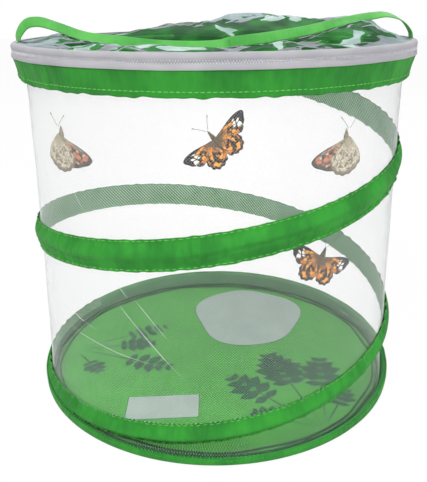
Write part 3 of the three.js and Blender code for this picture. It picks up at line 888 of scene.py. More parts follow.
@dataclass(frozen=True)
class Tuck:
    """Slack under the coil's second turn at the front, where netting and sleeve are drawn in."""

    coil: Coil
    depth: float = 9.5 * MM
    spread: float = 58.0
    drop: float = 12.8 * MM
    floor: float = 5.0 * MM

    def draw(self, angle: Array, z: Array) -> Array:
        """Depth * exp(-(a / spread)^2) * room * hat, where the hat peaks at the sleeve's lower edge.

        Args:
            angle: Degrees from the front, between -180 and 180.
            z: Height.

        Returns:
            How far the wall is drawn in.
        """
        crown = self.coil.height(angle - 360)
        edge = np.maximum(crown - self.drop, self.floor + 2 * MM)
        above = np.clip((crown - z) / np.maximum(crown - edge, MM), 0, 1)
        below = np.clip((z - self.floor) / np.maximum(edge - self.floor, MM), 0, 1)
        room = smoothstep(crown - self.floor, 5 * MM, 16 * MM)
        return self.depth * np.exp(-((angle / self.spread) ** 2)) * room * np.minimum(above, below)


# Sub-assemblies


@dataclass
class Base:
    """Printed floor, its seam and the binding round it."""

    floor_radius: float = 148.0 * MM
    cloth: float = 0.6 * MM
    floor_lift: float = 0.9 * MM
    lift_width: float = 18.7 * MM
    binding_radius: float = 153.5 * MM
    flange_radius: float = 144.5 * MM
    lining_radius: float = 148.45 * MM
    front_height: float = 6.5 * MM
    back_height: float = 16.0 * MM
    ease: float = 0.1 * MM
    corner: float = 1.4 * MM
    edge_fold: float = 1.3 * MM
    edge_roll: float = 0.5 * MM
    bulge: float = 0.35 * MM
    stitches: int = 300
    stitch: tuple[float, float, float] = (2.1 * MM, 0.45 * MM, 0.35 * MM)

    def floor_top(self, reach: Array) -> Array:
        """Height of the floor's upper side: level, and lifted on to the binding at its edge."""
        inner = self.floor_radius - self.lift_width
        return self.cloth + self.floor_lift * smoothstep(reach, inner, self.floor_radius)

    def binding_height(self, angle: Array) -> Array:
        """Height of the binding, from low at the front to tall at the back by (1 - cos a) / 2."""
        return self.front_height + (self.back_height - self.front_height) * (1 - np.cos(angle)) / 2

    def build_floor(self) -> None:
        """The floor, a disc of cloth."""
        x, y, lay = disc(self.floor_radius, 121)
        surface = Surface(np.stack([x, y, self.floor_top(np.hypot(x, y))], -1), lay, lay)
        obj = surface.build("floor_cloth")
        settle(obj, FLOOR, "base", ["floor_panel"], self.cloth * 0.9)

    def build_seams(self) -> None:
        """Two rolled seams round the floor's edge, each a thin tube with a slight waver, in a very dark green
        that partly paints the shade along the floor's edge.
        """
        angle = around(1.0)
        wavers = (
            ("floor_seam_outer", 145.6 * MM, [(0.5 * MM, 11, 0.4), (0.35 * MM, 23, 1.2)], 1.1 * MM),
            ("floor_seam_inner", 141.6 * MM, [(0.7 * MM, 9, 2.1), (0.4 * MM, 17, 0.3)], 0.85 * MM),
        )
        for name, reach, waves, thick in wavers:
            radius = reach + ripple(angle, waves)
            path = polar(angle, radius, self.floor_top(radius) + thick * 0.9)
            settle(tube(path, np.full(len(angle), thick), 8, True).build(name), SEAM_PAINTED_SHADE, "base")

    def build_binding(self) -> None:
        """A profile from the flange under the floor, round the corner and up to a folded edge."""
        angle = around(1.0)
        edge = self.binding_height(angle)[:, None] - self.edge_roll
        radius = self.binding_radius - self.ease
        shares = np.linspace(0, 1, 10)
        corner = np.radians(np.array([75.0, 50.0, 25.0, 0.0]))
        corner_z = self.corner + self.ease - self.corner * np.sin(corner)
        profile_r = np.concatenate([
            np.linspace(self.flange_radius, radius - self.corner - 2 * self.ease, 5),
            radius - self.corner + self.corner * np.cos(corner),
            radius + np.sin(np.pi * shares[1:]) * self.bulge,
            radius - np.array([0.35 * MM, 0.9 * MM, self.edge_fold]),
        ])
        low_z = np.concatenate([np.full(5, self.ease), corner_z])
        wall_z = corner_z[-1] + (edge - corner_z[-1]) * shares[1:]
        top_z = edge + np.array([0.4, 0.25, -0.4]) * MM
        z = np.concatenate([np.broadcast_to(low_z, (len(angle), len(low_z))), wall_z, top_z], 1)
        sway = ripple(angle, [(0.25 * MM, 31, 0.0), (0.2 * MM, 47, 1.0), (0.15 * MM, 19, 2.2)])
        r = profile_r + sway[:, None] * np.clip(z / self.back_height, 0, 0.6)
        across = lengths(np.stack([profile_r, z[0]], -1))
        surface = Surface(polar(angle[:, None], r, z), np.append(angle, TAU) * radius, across, True)
        obj = surface.build("binding_cloth")
        settle(obj, GREEN, "base", ["base_binding"], self.cloth * 0.6)

    def build_lining(self) -> None:
        """The binding's inner layer, from its edge down to the floor: radius falls by share ** 0.25."""
        angle = around(1.0)
        share = np.linspace(0, 1, 12)
        top = self.binding_radius - self.edge_fold
        radius = top + (self.lining_radius - top) * share ** 0.25
        edge = self.binding_height(angle)[:, None] - 0.9 * MM
        points = polar(angle[:, None], radius, edge + (1.9 * MM - edge) * share)
        surface = Surface(points, np.append(angle, TAU) * top, share * self.back_height, True)
        obj = settle(surface.build("binding_lining"), LINING, "base")

    def build_stitches(self) -> None:
        """A row of stitches just under the binding's edge."""
        angle = np.arange(self.stitches) * TAU / self.stitches
        places = polar(angle, self.binding_radius + 0.14 * MM, self.binding_height(angle) - 1.9 * MM)
        along = polar(angle + TAU / 4, 1.0, 0.0)
        shape = capsule(*self.stitch)
        obj = repeat("binding_stitches", shape, places, along, polar(angle, 1.0, 0.0))
        settle(obj, DULL_THREAD, "base")

    def build(self) -> None:
        """All pieces of the base."""
        self.build_floor()
        self.build_seams()
        self.build_binding()
        self.build_lining()
        self.build_stitches()


@dataclass
class FloorPrint:
    """Bare patches and simple leafy sprigs printed on the floor."""

    base: Base
    lift: float = 0.12 * MM
    edge: float = 0.5 * MM
    round_middle: tuple[float, float] = (33 * MM, 73 * MM)
    round_size: tuple[float, float] = (54 * MM, 60 * MM)
    square_middle: tuple[float, float] = (-44 * MM, -84 * MM)
    square_size: tuple[float, float] = (58 * MM, 30 * MM)
    square_lean: float = 0.06
    stem_width: float = 1.6 * MM
    bare_share: float = 0.6
    longest_at: float = 0.76
    leaf_width: float = 0.62
    leaf_bend: float = 0.12

    def on_floor(self, x: Array, y: Array, lift: float) -> Array:
        """Points a print's thickness above the floor."""
        return np.stack([x, y, self.base.floor_top(np.hypot(x, y)) + lift], -1)

    def round_patch(self, lift: float, grow: float) -> Surface:
        """A disc of radius a(1 + 0.05 sin 3t + 0.03 sin 5t).

        Args:
            lift: Its height above the floor.
            grow: How far it reaches past the patch's own size.

        Returns:
            The patch.
        """
        turn = np.arange(73) * TAU / 72
        share = np.linspace(0.0005, 1, 8)
        open_turn = turn[:-1]
        swell = 1 + 0.05 * np.sin(3 * open_turn + 0.6) + 0.03 * np.sin(5 * open_turn)
        wide, deep = self.round_size[0] + grow, self.round_size[1] + grow
        x = self.round_middle[0] + wide * np.outer(np.cos(open_turn) * swell, share)
        y = self.round_middle[1] + deep * np.outer(np.sin(open_turn) * swell, share)
        return Surface(self.on_floor(x, y, lift)[::-1], turn * wide * 0.6, share * wide, True)

    def square_patch(self, lift: float, grow: float) -> Surface:
        """A rectangle that leans a little.

        Args:
            lift: Its height above the floor.
            grow: How far it reaches past the patch's own size.

        Returns:
            The patch.
        """
        across = np.linspace(-0.5, 0.5, 9) * (self.square_size[0] + 2 * grow)
        deep = np.linspace(-0.5, 0.5, 7) * (self.square_size[1] + 2 * grow)
        x, y = np.meshgrid(self.square_middle[0] + across, self.square_middle[1] + deep, indexing="ij")
        leaned = y + self.square_lean * (x - self.square_middle[0])
        return Surface(self.on_floor(x, leaned, lift), across, deep)

    def build_patches(self) -> None:
        """Two pale bare patches, each on a slightly larger dark one that shows as a thin edge."""
        layers = (("", PALE_PRINT, self.lift, 0.0), ("_edge", PRINT, self.lift / 2, self.edge))
        for name, patch in (("round_patch", self.round_patch), ("square_patch", self.square_patch)):
            for ending, finish, lift, grow in layers:
                settle(patch(lift, grow).build(name + ending), finish, "base")

    def leaves(self, foot: Array, aim: Array, length: Array, width: Array, bend: Array) -> Array:
        """Leaf grids: middle line foot + s length (cos a, sin a) + bend s^2 aside, width ~ sin(pi s).

        Args:
            foot: Where each leaf starts.
            aim: Direction of each leaf in radians.
            length: Of each leaf.
            width: Of each leaf at its widest.
            bend: How far each tip bends aside.

        Returns:
            Points of every leaf, 9 along and 3 across.
        """
        s = np.linspace(0, 1, 9)
        ahead = np.stack([np.cos(aim), np.sin(aim)], -1)
        aside = np.stack([-np.sin(aim), np.cos(aim)], -1)
        middle = foot[:, None] + s[:, None] * (length[:, None] * ahead)[:, None]
        middle = middle + (s ** 2)[:, None] * (bend[:, None] * aside)[:, None]
        swell = np.maximum(np.sin(np.pi * s ** 0.8), 0.06)
        half = 0.5 * swell[:, None, None] * np.array([1.0, 0.0, -1.0])[:, None]
        flat = middle[:, :, None] - half * width[:, None, None, None] * aside[:, None, None]
        return self.on_floor(flat[..., 0], flat[..., 1], self.lift * 1.5)

    def sprig(self, foot: Array, aim: float, length: float, pairs: int, leaf: float) -> Array:
        """A bare stem whose upper part carries pairs of leaves, longest in the middle.

        Args:
            foot: Where the stem starts.
            aim: Its direction in radians.
            length: Its length.
            pairs: Pairs of leaves.
            leaf: Length of the longest leaf.

        Returns:
            Leaf grids, the stem first.
        """
        s = np.repeat(np.linspace(self.bare_share, 1.0, pairs), 2)
        side = np.tile([1.0, -1.0], pairs)
        start = foot + s[:, None] * length * np.array([math.cos(aim), math.sin(aim)])
        size = leaf * (1 - 2.2 * np.abs(s - self.longest_at))
        opened = aim + side * (1.35 - 1.6 * (s - self.bare_share))
        stem = self.leaves(foot[None], *np.array([[aim], [length * 1.1], [self.stem_width], [0.0]]))
        width, bend = size * self.leaf_width, side * size * self.leaf_bend
        return np.concatenate([stem, self.leaves(start, opened, size, width, bend)])

    def build_plants(self) -> None:
        """Two groups of sprigs, each group one mesh."""
        groups = {
            "left_sprigs": (
                (-128, 6, -20, 88, 5, 17), (-128, 8, 8, 66, 5, 15), (-128, 10, 27, 84, 5, 14),
                (-130, 2, -52, 40, 4, 13),
            ),
            "right_sprigs": (
                (84, -108, 84, 90, 5, 22), (82, -110, 108, 104, 6, 24), (80, -112, 134, 92, 5, 21),
                (86, -106, 62, 46, 4, 14), (78, -112, 158, 50, 4, 15),
            ),
        }
        for name, sprigs in groups.items():
            grids = np.concatenate([
                self.sprig(np.array([x, y]) * MM, math.radians(aim), length * MM, pairs, leaf * MM)
                for x, y, aim, length, pairs, leaf in sprigs
            ])
            faces = grid_faces(*grids.shape[:3])
            obj = mesh_piece(name, grids, faces, grids.reshape(-1, 3)[faces.ravel(), :2])
            settle(obj, PRINT, "base")

    def build(self) -> None:
        """All prints."""
        self.build_patches()
        self.build_plants()


@dataclass
class NetWall:
    """The wall of netting."""

    wall: Wall
    tuck: Tuck
    collapse: Collapse
    inset: float = 0.25 * MM
    slack: float = 0.7 * MM
    creases: Rows = (
        (-30.7, 125.5, -8.0, 63.7),
        (-22.8, 123.8, -12.8, 94.6),
        (-51.2, 84.8, -16.2, 74.6),
        (-41.8, 191.3, -37.6, 178.8),
        (-52.5, 100.2, -34.6, 90.3),
        (-27.8, 132.3, -24.1, 121.7),
    )
    crease_width: float = 0.6 * MM
    crease_lift: float = 0.12 * MM
    crease_share: float = 0.38
    threads: int = 900
    thread_depth: float = 0.055 * MM

    def radius(self, a: Array, z: Array) -> Array:
        """The wall's parabola less soft folds sin(17a + 40z) sin(9a - 55z) and the front tuck.

        Args:
            a: Radians from the front, between -pi and pi.
            z: Height.

        Returns:
            Radius of the netting.
        """
        loose = np.sin(np.pi * np.clip(z / self.wall.top, 0, 1)) ** 0.5
        fold = 0.5 + 0.5 * np.sin(17 * a + 40 * z) * np.sin(9 * a - 55 * z + 1.0)
        drawn = self.tuck.draw(np.degrees(a), z)
        return self.wall.radius(z) - self.inset - self.slack * loose * fold - drawn

    def hang(self, obj: bpy.types.Object, finish: Finish, nodes: Sequence[str] = ()) -> None:
        """Dresses a piece of netting and gives it its own mesh."""
        settle(obj, finish, "base", nodes)
        self.collapse.follow(obj)

    def build_wall(self) -> None:
        """The netting."""
        angle = np.radians(np.arange(-180, 181, 1.0))
        height = self.wall.levels(90, 100)
        a, z = np.meshgrid(angle[:-1], height, indexing="ij")
        points = polar(a, self.radius(a, z), z)
        values = {"crease": np.zeros(a.shape)}
        obj = Surface(points, angle * self.wall.waist_radius, height, True, False, values).build("netting")
        self.hang(obj, NET, ["net_wall"])

    def build_creases(self) -> None:
        """Narrow strips of doubled netting, thinning to both ends, on the folded wall."""
        s = np.linspace(0, 1, 25)
        for number, (a0, z0, a1, z1) in enumerate(self.creases):
            a = np.radians(a0 + (a1 - a0) * s)
            z = (z0 + (z1 - z0) * s) * MM
            run = np.array([(a[-1] - a[0]) * self.wall.waist_radius, z[-1] - z[0]])
            aside = np.array([-run[1], run[0]]) / np.hypot(*run)
            half = self.crease_width / 2 * np.maximum(np.sin(np.pi * s), 0.1)[:, None] * np.array([-1.0, 1.0])
            across = a[:, None] + half * aside[0] / self.wall.waist_radius
            height = z[:, None] + half * aside[1]
            points = polar(across, self.radius(across, height) + self.crease_lift, height)
            values = {"crease": np.full(half.shape, self.crease_share)}
            lay = s * np.hypot(*run), np.array([0.0, self.crease_width])
            self.hang(Surface(points, *lay, False, False, values).build(f"net_crease_{number + 1}"), NET)

    def build_threads(self) -> None:
        """Upright threads as one piece: narrow strips on edge that stand out of the netting, in a grey that
        paints shade on them.
        """
        angle = (np.arange(self.threads) + 0.5) * TAU / self.threads - math.pi
        height = self.wall.levels(38, 13)
        a, z = np.meshgrid(angle, height, indexing="ij")
        radius = self.radius(a, z)[..., None] - np.array([0.0, 1.0]) * self.thread_depth
        faces = grid_faces(self.threads, len(height), 2)[..., [0, 3, 2, 1]]
        self.hang(mesh_piece("net_threads", polar(a[..., None], radius, z[..., None]), faces), NET_THREAD_PAINTED_SHADE)

    def build(self) -> None:
        """All pieces of the wall."""
        self.build_wall()
        self.build_creases()
        self.build_threads()


@dataclass
class Spiral:
    """The coiled wire and the fabric tunnel that holds it to the netting."""

    wall: Wall
    coil: Coil
    tuck: Tuck
    collapse: Collapse
    half_width: float = 11.2 * MM
    crown: float = 4.4 * MM
    seam: float = 9.9 * MM
    seam_rise: float = 0.75 * MM
    seam_share: float = 0.885
    low_end: float = 7.3 * MM
    high_end: float = 255.1 * MM
    start: float = 258.0
    end: float = -486.0
    backing_gap: float = 0.22 * MM
    wire_radius: float = 0.8 * MM
    rim_draw: float = 2.9 * MM
    foot_draw: float = 0.9 * MM
    wire_ends: tuple[float, float] = (262.5, -607.6)
    stitch: tuple[float, float, float] = (2.9 * MM, 0.5 * MM, 0.4 * MM)

    def skin(self, angle: Array, across: Array) -> Array:
        """Outer face of the tunnel: flat seams at both edges, and a rounded crown over the wire.

        Args:
            angle: Degrees along the coil.
            across: From -1 at the lower edge to 1 at the upper one.

        Returns:
            Points; the strip narrows where it runs into the rim and the base.
        """
        middle = self.coil.height(angle)
        low = np.maximum(-self.half_width, self.low_end - middle)
        high = np.minimum(self.half_width, self.high_end - middle)
        u = low + (high - low) * (across + 1) / 2
        turn = np.radians(angle)
        lower = np.clip(-u / self.half_width, 0, 1) ** 3
        upper = np.clip(u / self.half_width, 0, 1) ** 3
        loose = 0.4 + 0.6 * (0.5 + 0.5 * np.cos(turn - 0.9))
        ruffle = np.sin(71 * turn) * 0.5 + np.sin(113 * turn + 1.0) * 0.4 + np.sin(43.3 * turn + 2.0) * 0.4
        ruffle = loose * ruffle
        gather = np.sin(87 * turn + 0.5) * np.sin(13 * turn) + 0.6 * np.sin(59 * turn + 1.7)
        crowned = 1 - smoothstep(np.abs(u), 0.4 * MM, self.seam)
        out = self.seam_rise + (self.crown - self.seam_rise) * crowned
        out = out + lower * (0.9 + 1.1 * ruffle) * MM + upper * (0.5 + 0.6 * gather) * MM
        out = out + 0.8 * MM * gather * smoothstep(np.abs(u), 1 * MM, 6 * MM) * (1 - lower - upper)
        groove = -2.2 * MM + 1.4 * MM * np.sin(3.1 * turn) + 0.6 * MM * np.sin(11 * turn)
        out = out - (0.9 + 0.5 * np.sin(5.3 * turn)) * MM * np.exp(-(((u - groove) / (1.3 * MM)) ** 2))
        z = middle + u + (lower * ruffle * 0.9 + upper * gather * loose * 0.4) * MM
        return polar(turn, self.wall.radius(z) + np.maximum(out, 0.5 * MM) - self.pull(angle, z), z)

    def pull(self, angle: Array, z: Array) -> Array:
        """How far the second turn is drawn in at its front; 0 away from that turn."""
        drawn = self.tuck.draw(np.clip(angle + 360, -180, 180), z)
        return np.where(np.abs(angle + 360) < 180, drawn, 0.0)

    def coiled(self, obj: bpy.types.Object, finish: Finish, nodes: Sequence[str] = ()) -> None:
        """Dresses a piece of the coil and gives it its own mesh."""
        settle(obj, finish, "base", nodes)
        self.collapse.nest(obj)

    def build_sleeve(self) -> None:
        """The outer face, and a flat back layer that closes the tunnel against the netting."""
        angle = np.arange(self.start, self.end, -0.75)
        along = lengths(polar(np.radians(angle), self.wall.waist_radius, self.coil.height(angle)))
        across = np.linspace(-1, 1, 23)
        front = self.skin(angle[:, None], across)
        obj = Surface(front[::-1], along, across * self.half_width).build("sleeve_cloth")
        self.coiled(obj, GREEN, ["spiral_sleeve"])
        across = np.linspace(-0.97, 0.97, 9)
        z = self.skin(angle[:, None], across)[..., 2]
        radius = self.wall.radius(z) + self.backing_gap - self.pull(angle[:, None], z)
        back = polar(np.radians(angle)[:, None], radius, z)
        obj = Surface(back, along, across * self.half_width).build("sleeve_backing")
        self.coiled(obj, BACKING)

    def build_stitches(self) -> None:
        """A row of stitches along each seam of the tunnel."""
        angle = np.arange(self.start - 4, self.end + 14, -1.8)
        out = polar(np.radians(angle), 1.0, 0.0)
        shape = capsule(*self.stitch)
        rows = (("sleeve_stitches_low", -self.seam_share), ("sleeve_stitches_high", self.seam_share))
        for name, share in rows:
            across = np.full(len(angle), share)
            places = self.skin(angle, across) + out * 0.1 * MM
            along = self.skin(angle - 0.2, across) - self.skin(angle + 0.2, across)
            self.coiled(repeat(name, shape, places, along, out), THREAD)

    def build_wire(self) -> None:
        """A round wire along the coil's middle line, drawn in beside each hoop at its ends."""
        angle = np.arange(*self.wire_ends, -2.5)
        z = self.coil.height(angle)
        rim = np.clip((z - self.high_end) / (self.coil.top - self.high_end), 0, 1)
        foot = np.clip((self.low_end - z) / (self.low_end - self.coil.foot), 0, 1)
        radius = self.wall.radius(z) + self.coil.stand + rim * self.rim_draw + foot * self.foot_draw
        path = polar(np.radians(angle), radius, z)
        obj = tube(path, np.full(len(angle), self.wire_radius), 8, False).build("coiled_wire")
        self.coiled(obj, STEEL, ["spiral_spring_wire"])

    def build(self) -> None:
        """All pieces of the spiral."""
        self.build_sleeve()
        self.build_stitches()
        self.build_wire()


@dataclass
class Rim:
    """The green casing round the rim hoop, with its hem."""

    foot: float = 255.5 * MM
    top: float = 272.0 * MM
    mouth_radius: float = 146.6 * MM
    top_radius: float = 151.0 * MM
    inner_radius: float = 145.2 * MM
    inner_foot: float = 260.4 * MM
    inner_foot_radius: float = 144.0 * MM
    fold: float = 0.8 * MM
    cloth: float = 0.5 * MM
    outer_rows: int = 14
    stitch_row: int = 3
    stitches: int = 260
    stitch: tuple[float, float, float] = (2.6 * MM, 0.5 * MM, 0.4 * MM)

    def profile(self) -> Array:
        """Corners of the casing's section: up the flared outside, over the fold, down the inside.

        Returns:
            Radius and height of each corner.
        """
        s = np.linspace(0, 1, self.outer_rows)
        outside = np.stack([
            self.mouth_radius + (self.top_radius - self.mouth_radius) * s ** 1.15,
            self.foot + (self.top - self.fold - self.foot) * s,
        ], -1)
        turn = np.radians(np.array([40.0, 75.0]))
        fold = np.stack([
            self.top_radius - self.fold + self.fold * np.cos(turn),
            self.top - self.fold + 0.75 * MM * np.sin(turn),
        ], -1)
        roof = np.array([[148.2 * MM, self.top - 0.02 * MM], [146.2 * MM, self.top - 0.05 * MM],
                         [self.inner_radius, self.top - 0.5 * MM]])
        drop = np.linspace(0.15, 1, 6)[:, None]
        inside = roof[-1] + drop * (np.array([self.inner_foot_radius, self.inner_foot]) - roof[-1])
        return np.concatenate([outside, fold, roof, inside])

    def skin(self, angle: Array) -> Array:
        """The profile at each angle, puckered at the hem and slightly uneven above.

        Args:
            angle: Radians.

        Returns:
            Points, one row for each angle.
        """
        profile = self.profile()
        outer = np.arange(len(profile)) < self.outer_rows
        above = profile[:, 1] - self.foot
        pucker = ripple(angle, [(0.45, 41, 0.3), (0.35, 67, 1.4), (0.3, 89, 2.6), (0.3, 23, 0.9)])[:, None]
        sway = ripple(angle, [(0.35, 7, 0.5), (0.3, 13, 2.0), (0.2, 29, 1.1)])[:, None]
        near = outer * np.exp(-(above / (2.6 * MM)) ** 2)
        pinch = ripple(angle, [(0.6, 53, 0.2), (0.5, 79, 1.9), (0.4, 31, 2.8)])[:, None]
        gather = np.clip(pinch, 0, None) ** 2 * outer * np.exp(-above / (5 * MM))
        gather = gather * smoothstep(above, 0, 2 * MM)
        body = outer * np.sin(np.pi * np.clip(above / (self.top - self.foot), 0, 1))
        swell = near * (0.3 + 0.8 * pucker) + body * (0.25 + 0.7 * sway) + 1.4 * gather
        return polar(angle[:, None], profile[:, 0] + swell * MM, profile[:, 1] + near * pucker * 0.7 * MM)

    def build_band(self) -> None:
        """The casing as one folded strip."""
        angle = around(0.75)
        lay = np.append(angle, TAU) * self.top_radius, lengths(self.profile())
        obj = Surface(self.skin(angle), *lay, True).build("rim_casing_cloth")
        settle(obj, GREEN, "rim", ["top_band"], self.cloth)

    def build_stitches(self) -> None:
        """A row of stitches on the puckered hem, along one of the profile's corners."""
        angle = np.arange(self.stitches) * TAU / self.stitches
        places, ahead, behind = (
            self.skin(angle + turn)[:, self.stitch_row] for turn in np.radians([0.0, 0.3, -0.3])
        )
        out = polar(angle, 1.0, -0.2)
        shape = capsule(*self.stitch)
        obj = repeat("casing_stitches", shape, places + out * 0.08 * MM, ahead - behind, out)
        settle(obj, THREAD, "rim")

    def build(self) -> None:
        """All pieces of the rim casing."""
        self.build_band()
        self.build_stitches()


@dataclass
class Zip:
    """Both tapes, both rows of coil teeth and the hinge strip."""

    tape_radius: float = 150.75 * MM
    cloth: float = 0.5 * MM
    low_profile: Rows = (
        (151.65, 271.5), (151.75, 272.2), (151.7, 273.2), (151.35, 274.4), (150.9, 275.3), (150.5, 275.8),
    )
    high_profile: Rows = (
        (150.5, 276.2), (150.9, 276.7), (151.35, 277.6), (151.55, 278.6), (151.4, 279.6), (150.9, 280.4),
        (149.8, 280.95), (148.0, 281.05), (146.9, 281.0),
    )
    low_edge: float = 274.4 * MM
    high_edge: float = 277.6 * MM
    middle: float = 276.0 * MM
    tooth_pitch: float = 1.7 * MM
    tooth: tuple[float, float, float] = (1.3 * MM, 0.8 * MM, 1.0 * MM)
    row_offset: float = 0.5 * MM
    end_angle: float = 163.5
    hinge_angle: float = 164.7
    hinge_inset: float = 0.3 * MM
    hinge_seam: float = 0.2 * MM

    def build_tape(self, name: str, profile: Rows, body: str, node: str) -> None:
        """A tape whose section runs through the profile's corners, with a slight sway round the rim.

        Args:
            name: Name of the piece.
            profile: Radius and height of each corner in millimetres, upwards or over the top inwards.
            body: Body that carries it.
            node: Node that it replaces.
        """
        angle = around(1.0)
        corner = np.array(profile) * MM
        places = lengths(corner)
        fine = np.linspace(0, places[-1], 22)
        radius, height = (np.interp(fine, places, corner[:, axis]) for axis in (0, 1))
        sway = ripple(angle, [(0.12 * MM, 9, 0.2), (0.1 * MM, 17, 1.7), (0.06 * MM, 43, 0.6)])[:, None]
        points = polar(angle[:, None], radius + sway, height + 0.6 * sway)
        obj = Surface(points, np.append(angle, TAU) * self.tape_radius, fine, True).build(name)
        settle(obj, TAPE, body, [node], self.cloth)

    def build_teeth(self, name: str, height: float, shift: float, body: str, node: str) -> None:
        """Rounded coil turns side by side, one row half a pitch from the other.

        Args:
            name: Name of the piece.
            height: Height of the row's middle.
            shift: Share of a pitch that the row is moved along.
            body: Body that carries it.
            node: Node that it replaces.
        """
        step = self.tooth_pitch / self.tape_radius
        count = int(math.radians(self.end_angle) / step)
        angle = (np.arange(-count, count) + 0.5 + shift) * step
        places = polar(angle, self.tape_radius + 0.05 * MM, height)
        upright = np.broadcast_to(np.array([0.0, 0.0, 1.0]), places.shape)
        shape = capsule(*self.tooth, 8)
        obj = repeat(name, shape, places, upright, polar(angle, 1.0, 0.0))
        settle(obj, TEETH, body, [node])

    def build_hinge(self) -> None:
        """The strip at the back that joins the tapes."""
        angle = np.radians(np.linspace(self.hinge_angle, 360 - self.hinge_angle, 41))
        s = np.linspace(0, 1, 9)
        tall = self.high_edge - self.low_edge - 2 * self.hinge_seam
        height = self.low_edge + self.hinge_seam + tall * s
        radius = self.tape_radius - self.hinge_inset + self.hinge_inset * np.sin(np.pi * s)
        surface = Surface(polar(angle[:, None], radius, height), angle * self.tape_radius, height)
        obj = surface.build("hinge_tape")
        settle(obj, TAPE, None, ["lid_hinge_strip"], self.cloth)
        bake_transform(obj)

    def build(self) -> None:
        """All soft pieces of the zip."""
        self.build_tape("lower_tape", self.low_profile, "rim", "zip_tape_lower")
        self.build_tape("upper_tape", self.high_profile, "lid", "zip_tape_upper")
        self.build_teeth("lower_teeth", self.middle - self.row_offset, 0.0, "rim", "zip_teeth_lower")
        self.build_teeth("upper_teeth", self.middle + self.row_offset, 0.5, "lid", "zip_teeth_upper")
        self.build_hinge()


@dataclass
class Strap:
    """The slack ribbon, sewn to the lid at both ends, by a route of x, y, lift and tilt."""

    reach: float = 150.6 * MM
    hem_top: float = 280.5 * MM
    width: float = 9.0 * MM
    cloth: float = 0.7 * MM
    play: float = 1.0 * MM
    clearance: float = 0.8 * MM
    least_tilt: float = 15.0
    cup: float = 0.25 * MM
    join: float = 11.0 * MM
    lap: int = 5
    slip: float = 2.2 * MM
    route: Rows = (
        (-0.973, -0.133, 0.3, 30), (-0.966, -0.133, 5, 42), (-0.923, -0.133, 12.5, 52),
        (-0.863, -0.133, 14, 48), (-0.784, -0.133, 11, 40), (-0.637, -0.139, 3.5, 44),
        (-0.465, -0.166, 0, 50), (-0.3, -0.206, -3, 54), (-0.066, -0.226, -4.5, 56),
        (0.06, -0.226, -4.5, 56), (0.2, -0.219, -2, 54), (0.425, -0.186, 5.5, 48),
        (0.617, -0.16, 11.5, 36), (0.77, -0.146, 16, 30), (0.843, -0.146, 17, 20),
        (0.916, -0.165, 12.5, 6), (0.958, -0.17, 5, 0), (0.965, -0.17, 0.3, 0),
    )

    def middle_line(self, film: Film) -> tuple[Array, Array]:
        """The ribbon's middle line, by cubic pieces through the route, held above the film.

        Args:
            film: The lid's film.

        Returns:
            Points of the line, and the ribbon's tilt in radians at each.
        """
        x, y, lift, tilt = np.array(self.route).T * np.array([[self.reach], [self.reach], [MM], [TAU / 360]])
        drop = self.width / 2 * math.sin(math.radians(self.least_tilt))
        clear = film.swell(x, y) + drop + self.clearance + self.play
        lift[1:-1] = np.maximum(lift, clear)[1:-1]
        knots = np.stack([x, y, self.hem_top + lift, tilt], -1)
        padded = np.concatenate([2 * knots[:1] - knots[1:2], knots, 2 * knots[-1:] - knots[-2:-1]])
        gaps = np.sqrt(np.linalg.norm(np.diff(padded[:, :3], axis=0), axis=-1))
        times = np.concatenate([[0.0], np.cumsum(gaps)])
        t = np.linspace(times[1], times[-2], 161)
        k = np.clip(np.searchsorted(times, t, "right") - 1, 1, len(times) - 3)
        t = t[:, None]
        ends = [times[k + shift][:, None] for shift in (-1, 0, 1, 2)]
        rows = [padded[k + shift] for shift in (-1, 0, 1, 2)]
        for spans in (((0, 1), (1, 2), (2, 3)), ((0, 2), (1, 3)), ((1, 2),)):
            shares = [(t - ends[a]) / (ends[b] - ends[a]) for a, b in spans]
            rows = [(1 - share) * rows[i] + share * rows[i + 1] for i, share in enumerate(shares)]
        return rows[0][:, :3], rows[0][:, 3]

    def build(self, film: Film) -> None:
        """The ribbon in two halves that lap at the join.

        Args:
            film: The lid's film.
        """
        line, tilt = self.middle_line(film)
        forward = unit(np.gradient(line, axis=0))
        back = np.array([0.0, 1.0, 0.0])
        flat = unit(back - (forward @ back)[:, None] * forward)
        rise = np.cross(forward, flat)
        wide = flat * np.cos(tilt)[:, None] + rise * np.sin(tilt)[:, None]
        face = np.cross(forward, wide)
        across = np.linspace(-0.5, 0.5, 9)
        cup = self.cup * (1 - (2 * across) ** 2)
        points = line[:, None] + across[:, None] * self.width * wide[:, None] + cup[:, None] * face[:, None]
        along = lengths(line)
        join = int(np.searchsorted(line[:, 0], self.join))
        past = np.arange(len(line)) - join
        near = 1 - smoothstep(np.abs(past), 6, 30)[:, None]
        risen = near * smoothstep(past, -self.lap, 1)[:, None]
        laps = (
            ("strap_left", slice(0, join + 1), near * face * self.play, line[0], ["hanging_strap"]),
            ("strap_right", slice(join - self.lap, None), risen * wide * self.slip, line[-1], []),
        )
        for name, rows, shift, end, nodes in laps:
            obj = Surface((points + shift[:, None])[rows], along[rows], across * self.width).build(name)
            settle(obj, RIBBON, None, nodes, self.cloth)
            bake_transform(obj)


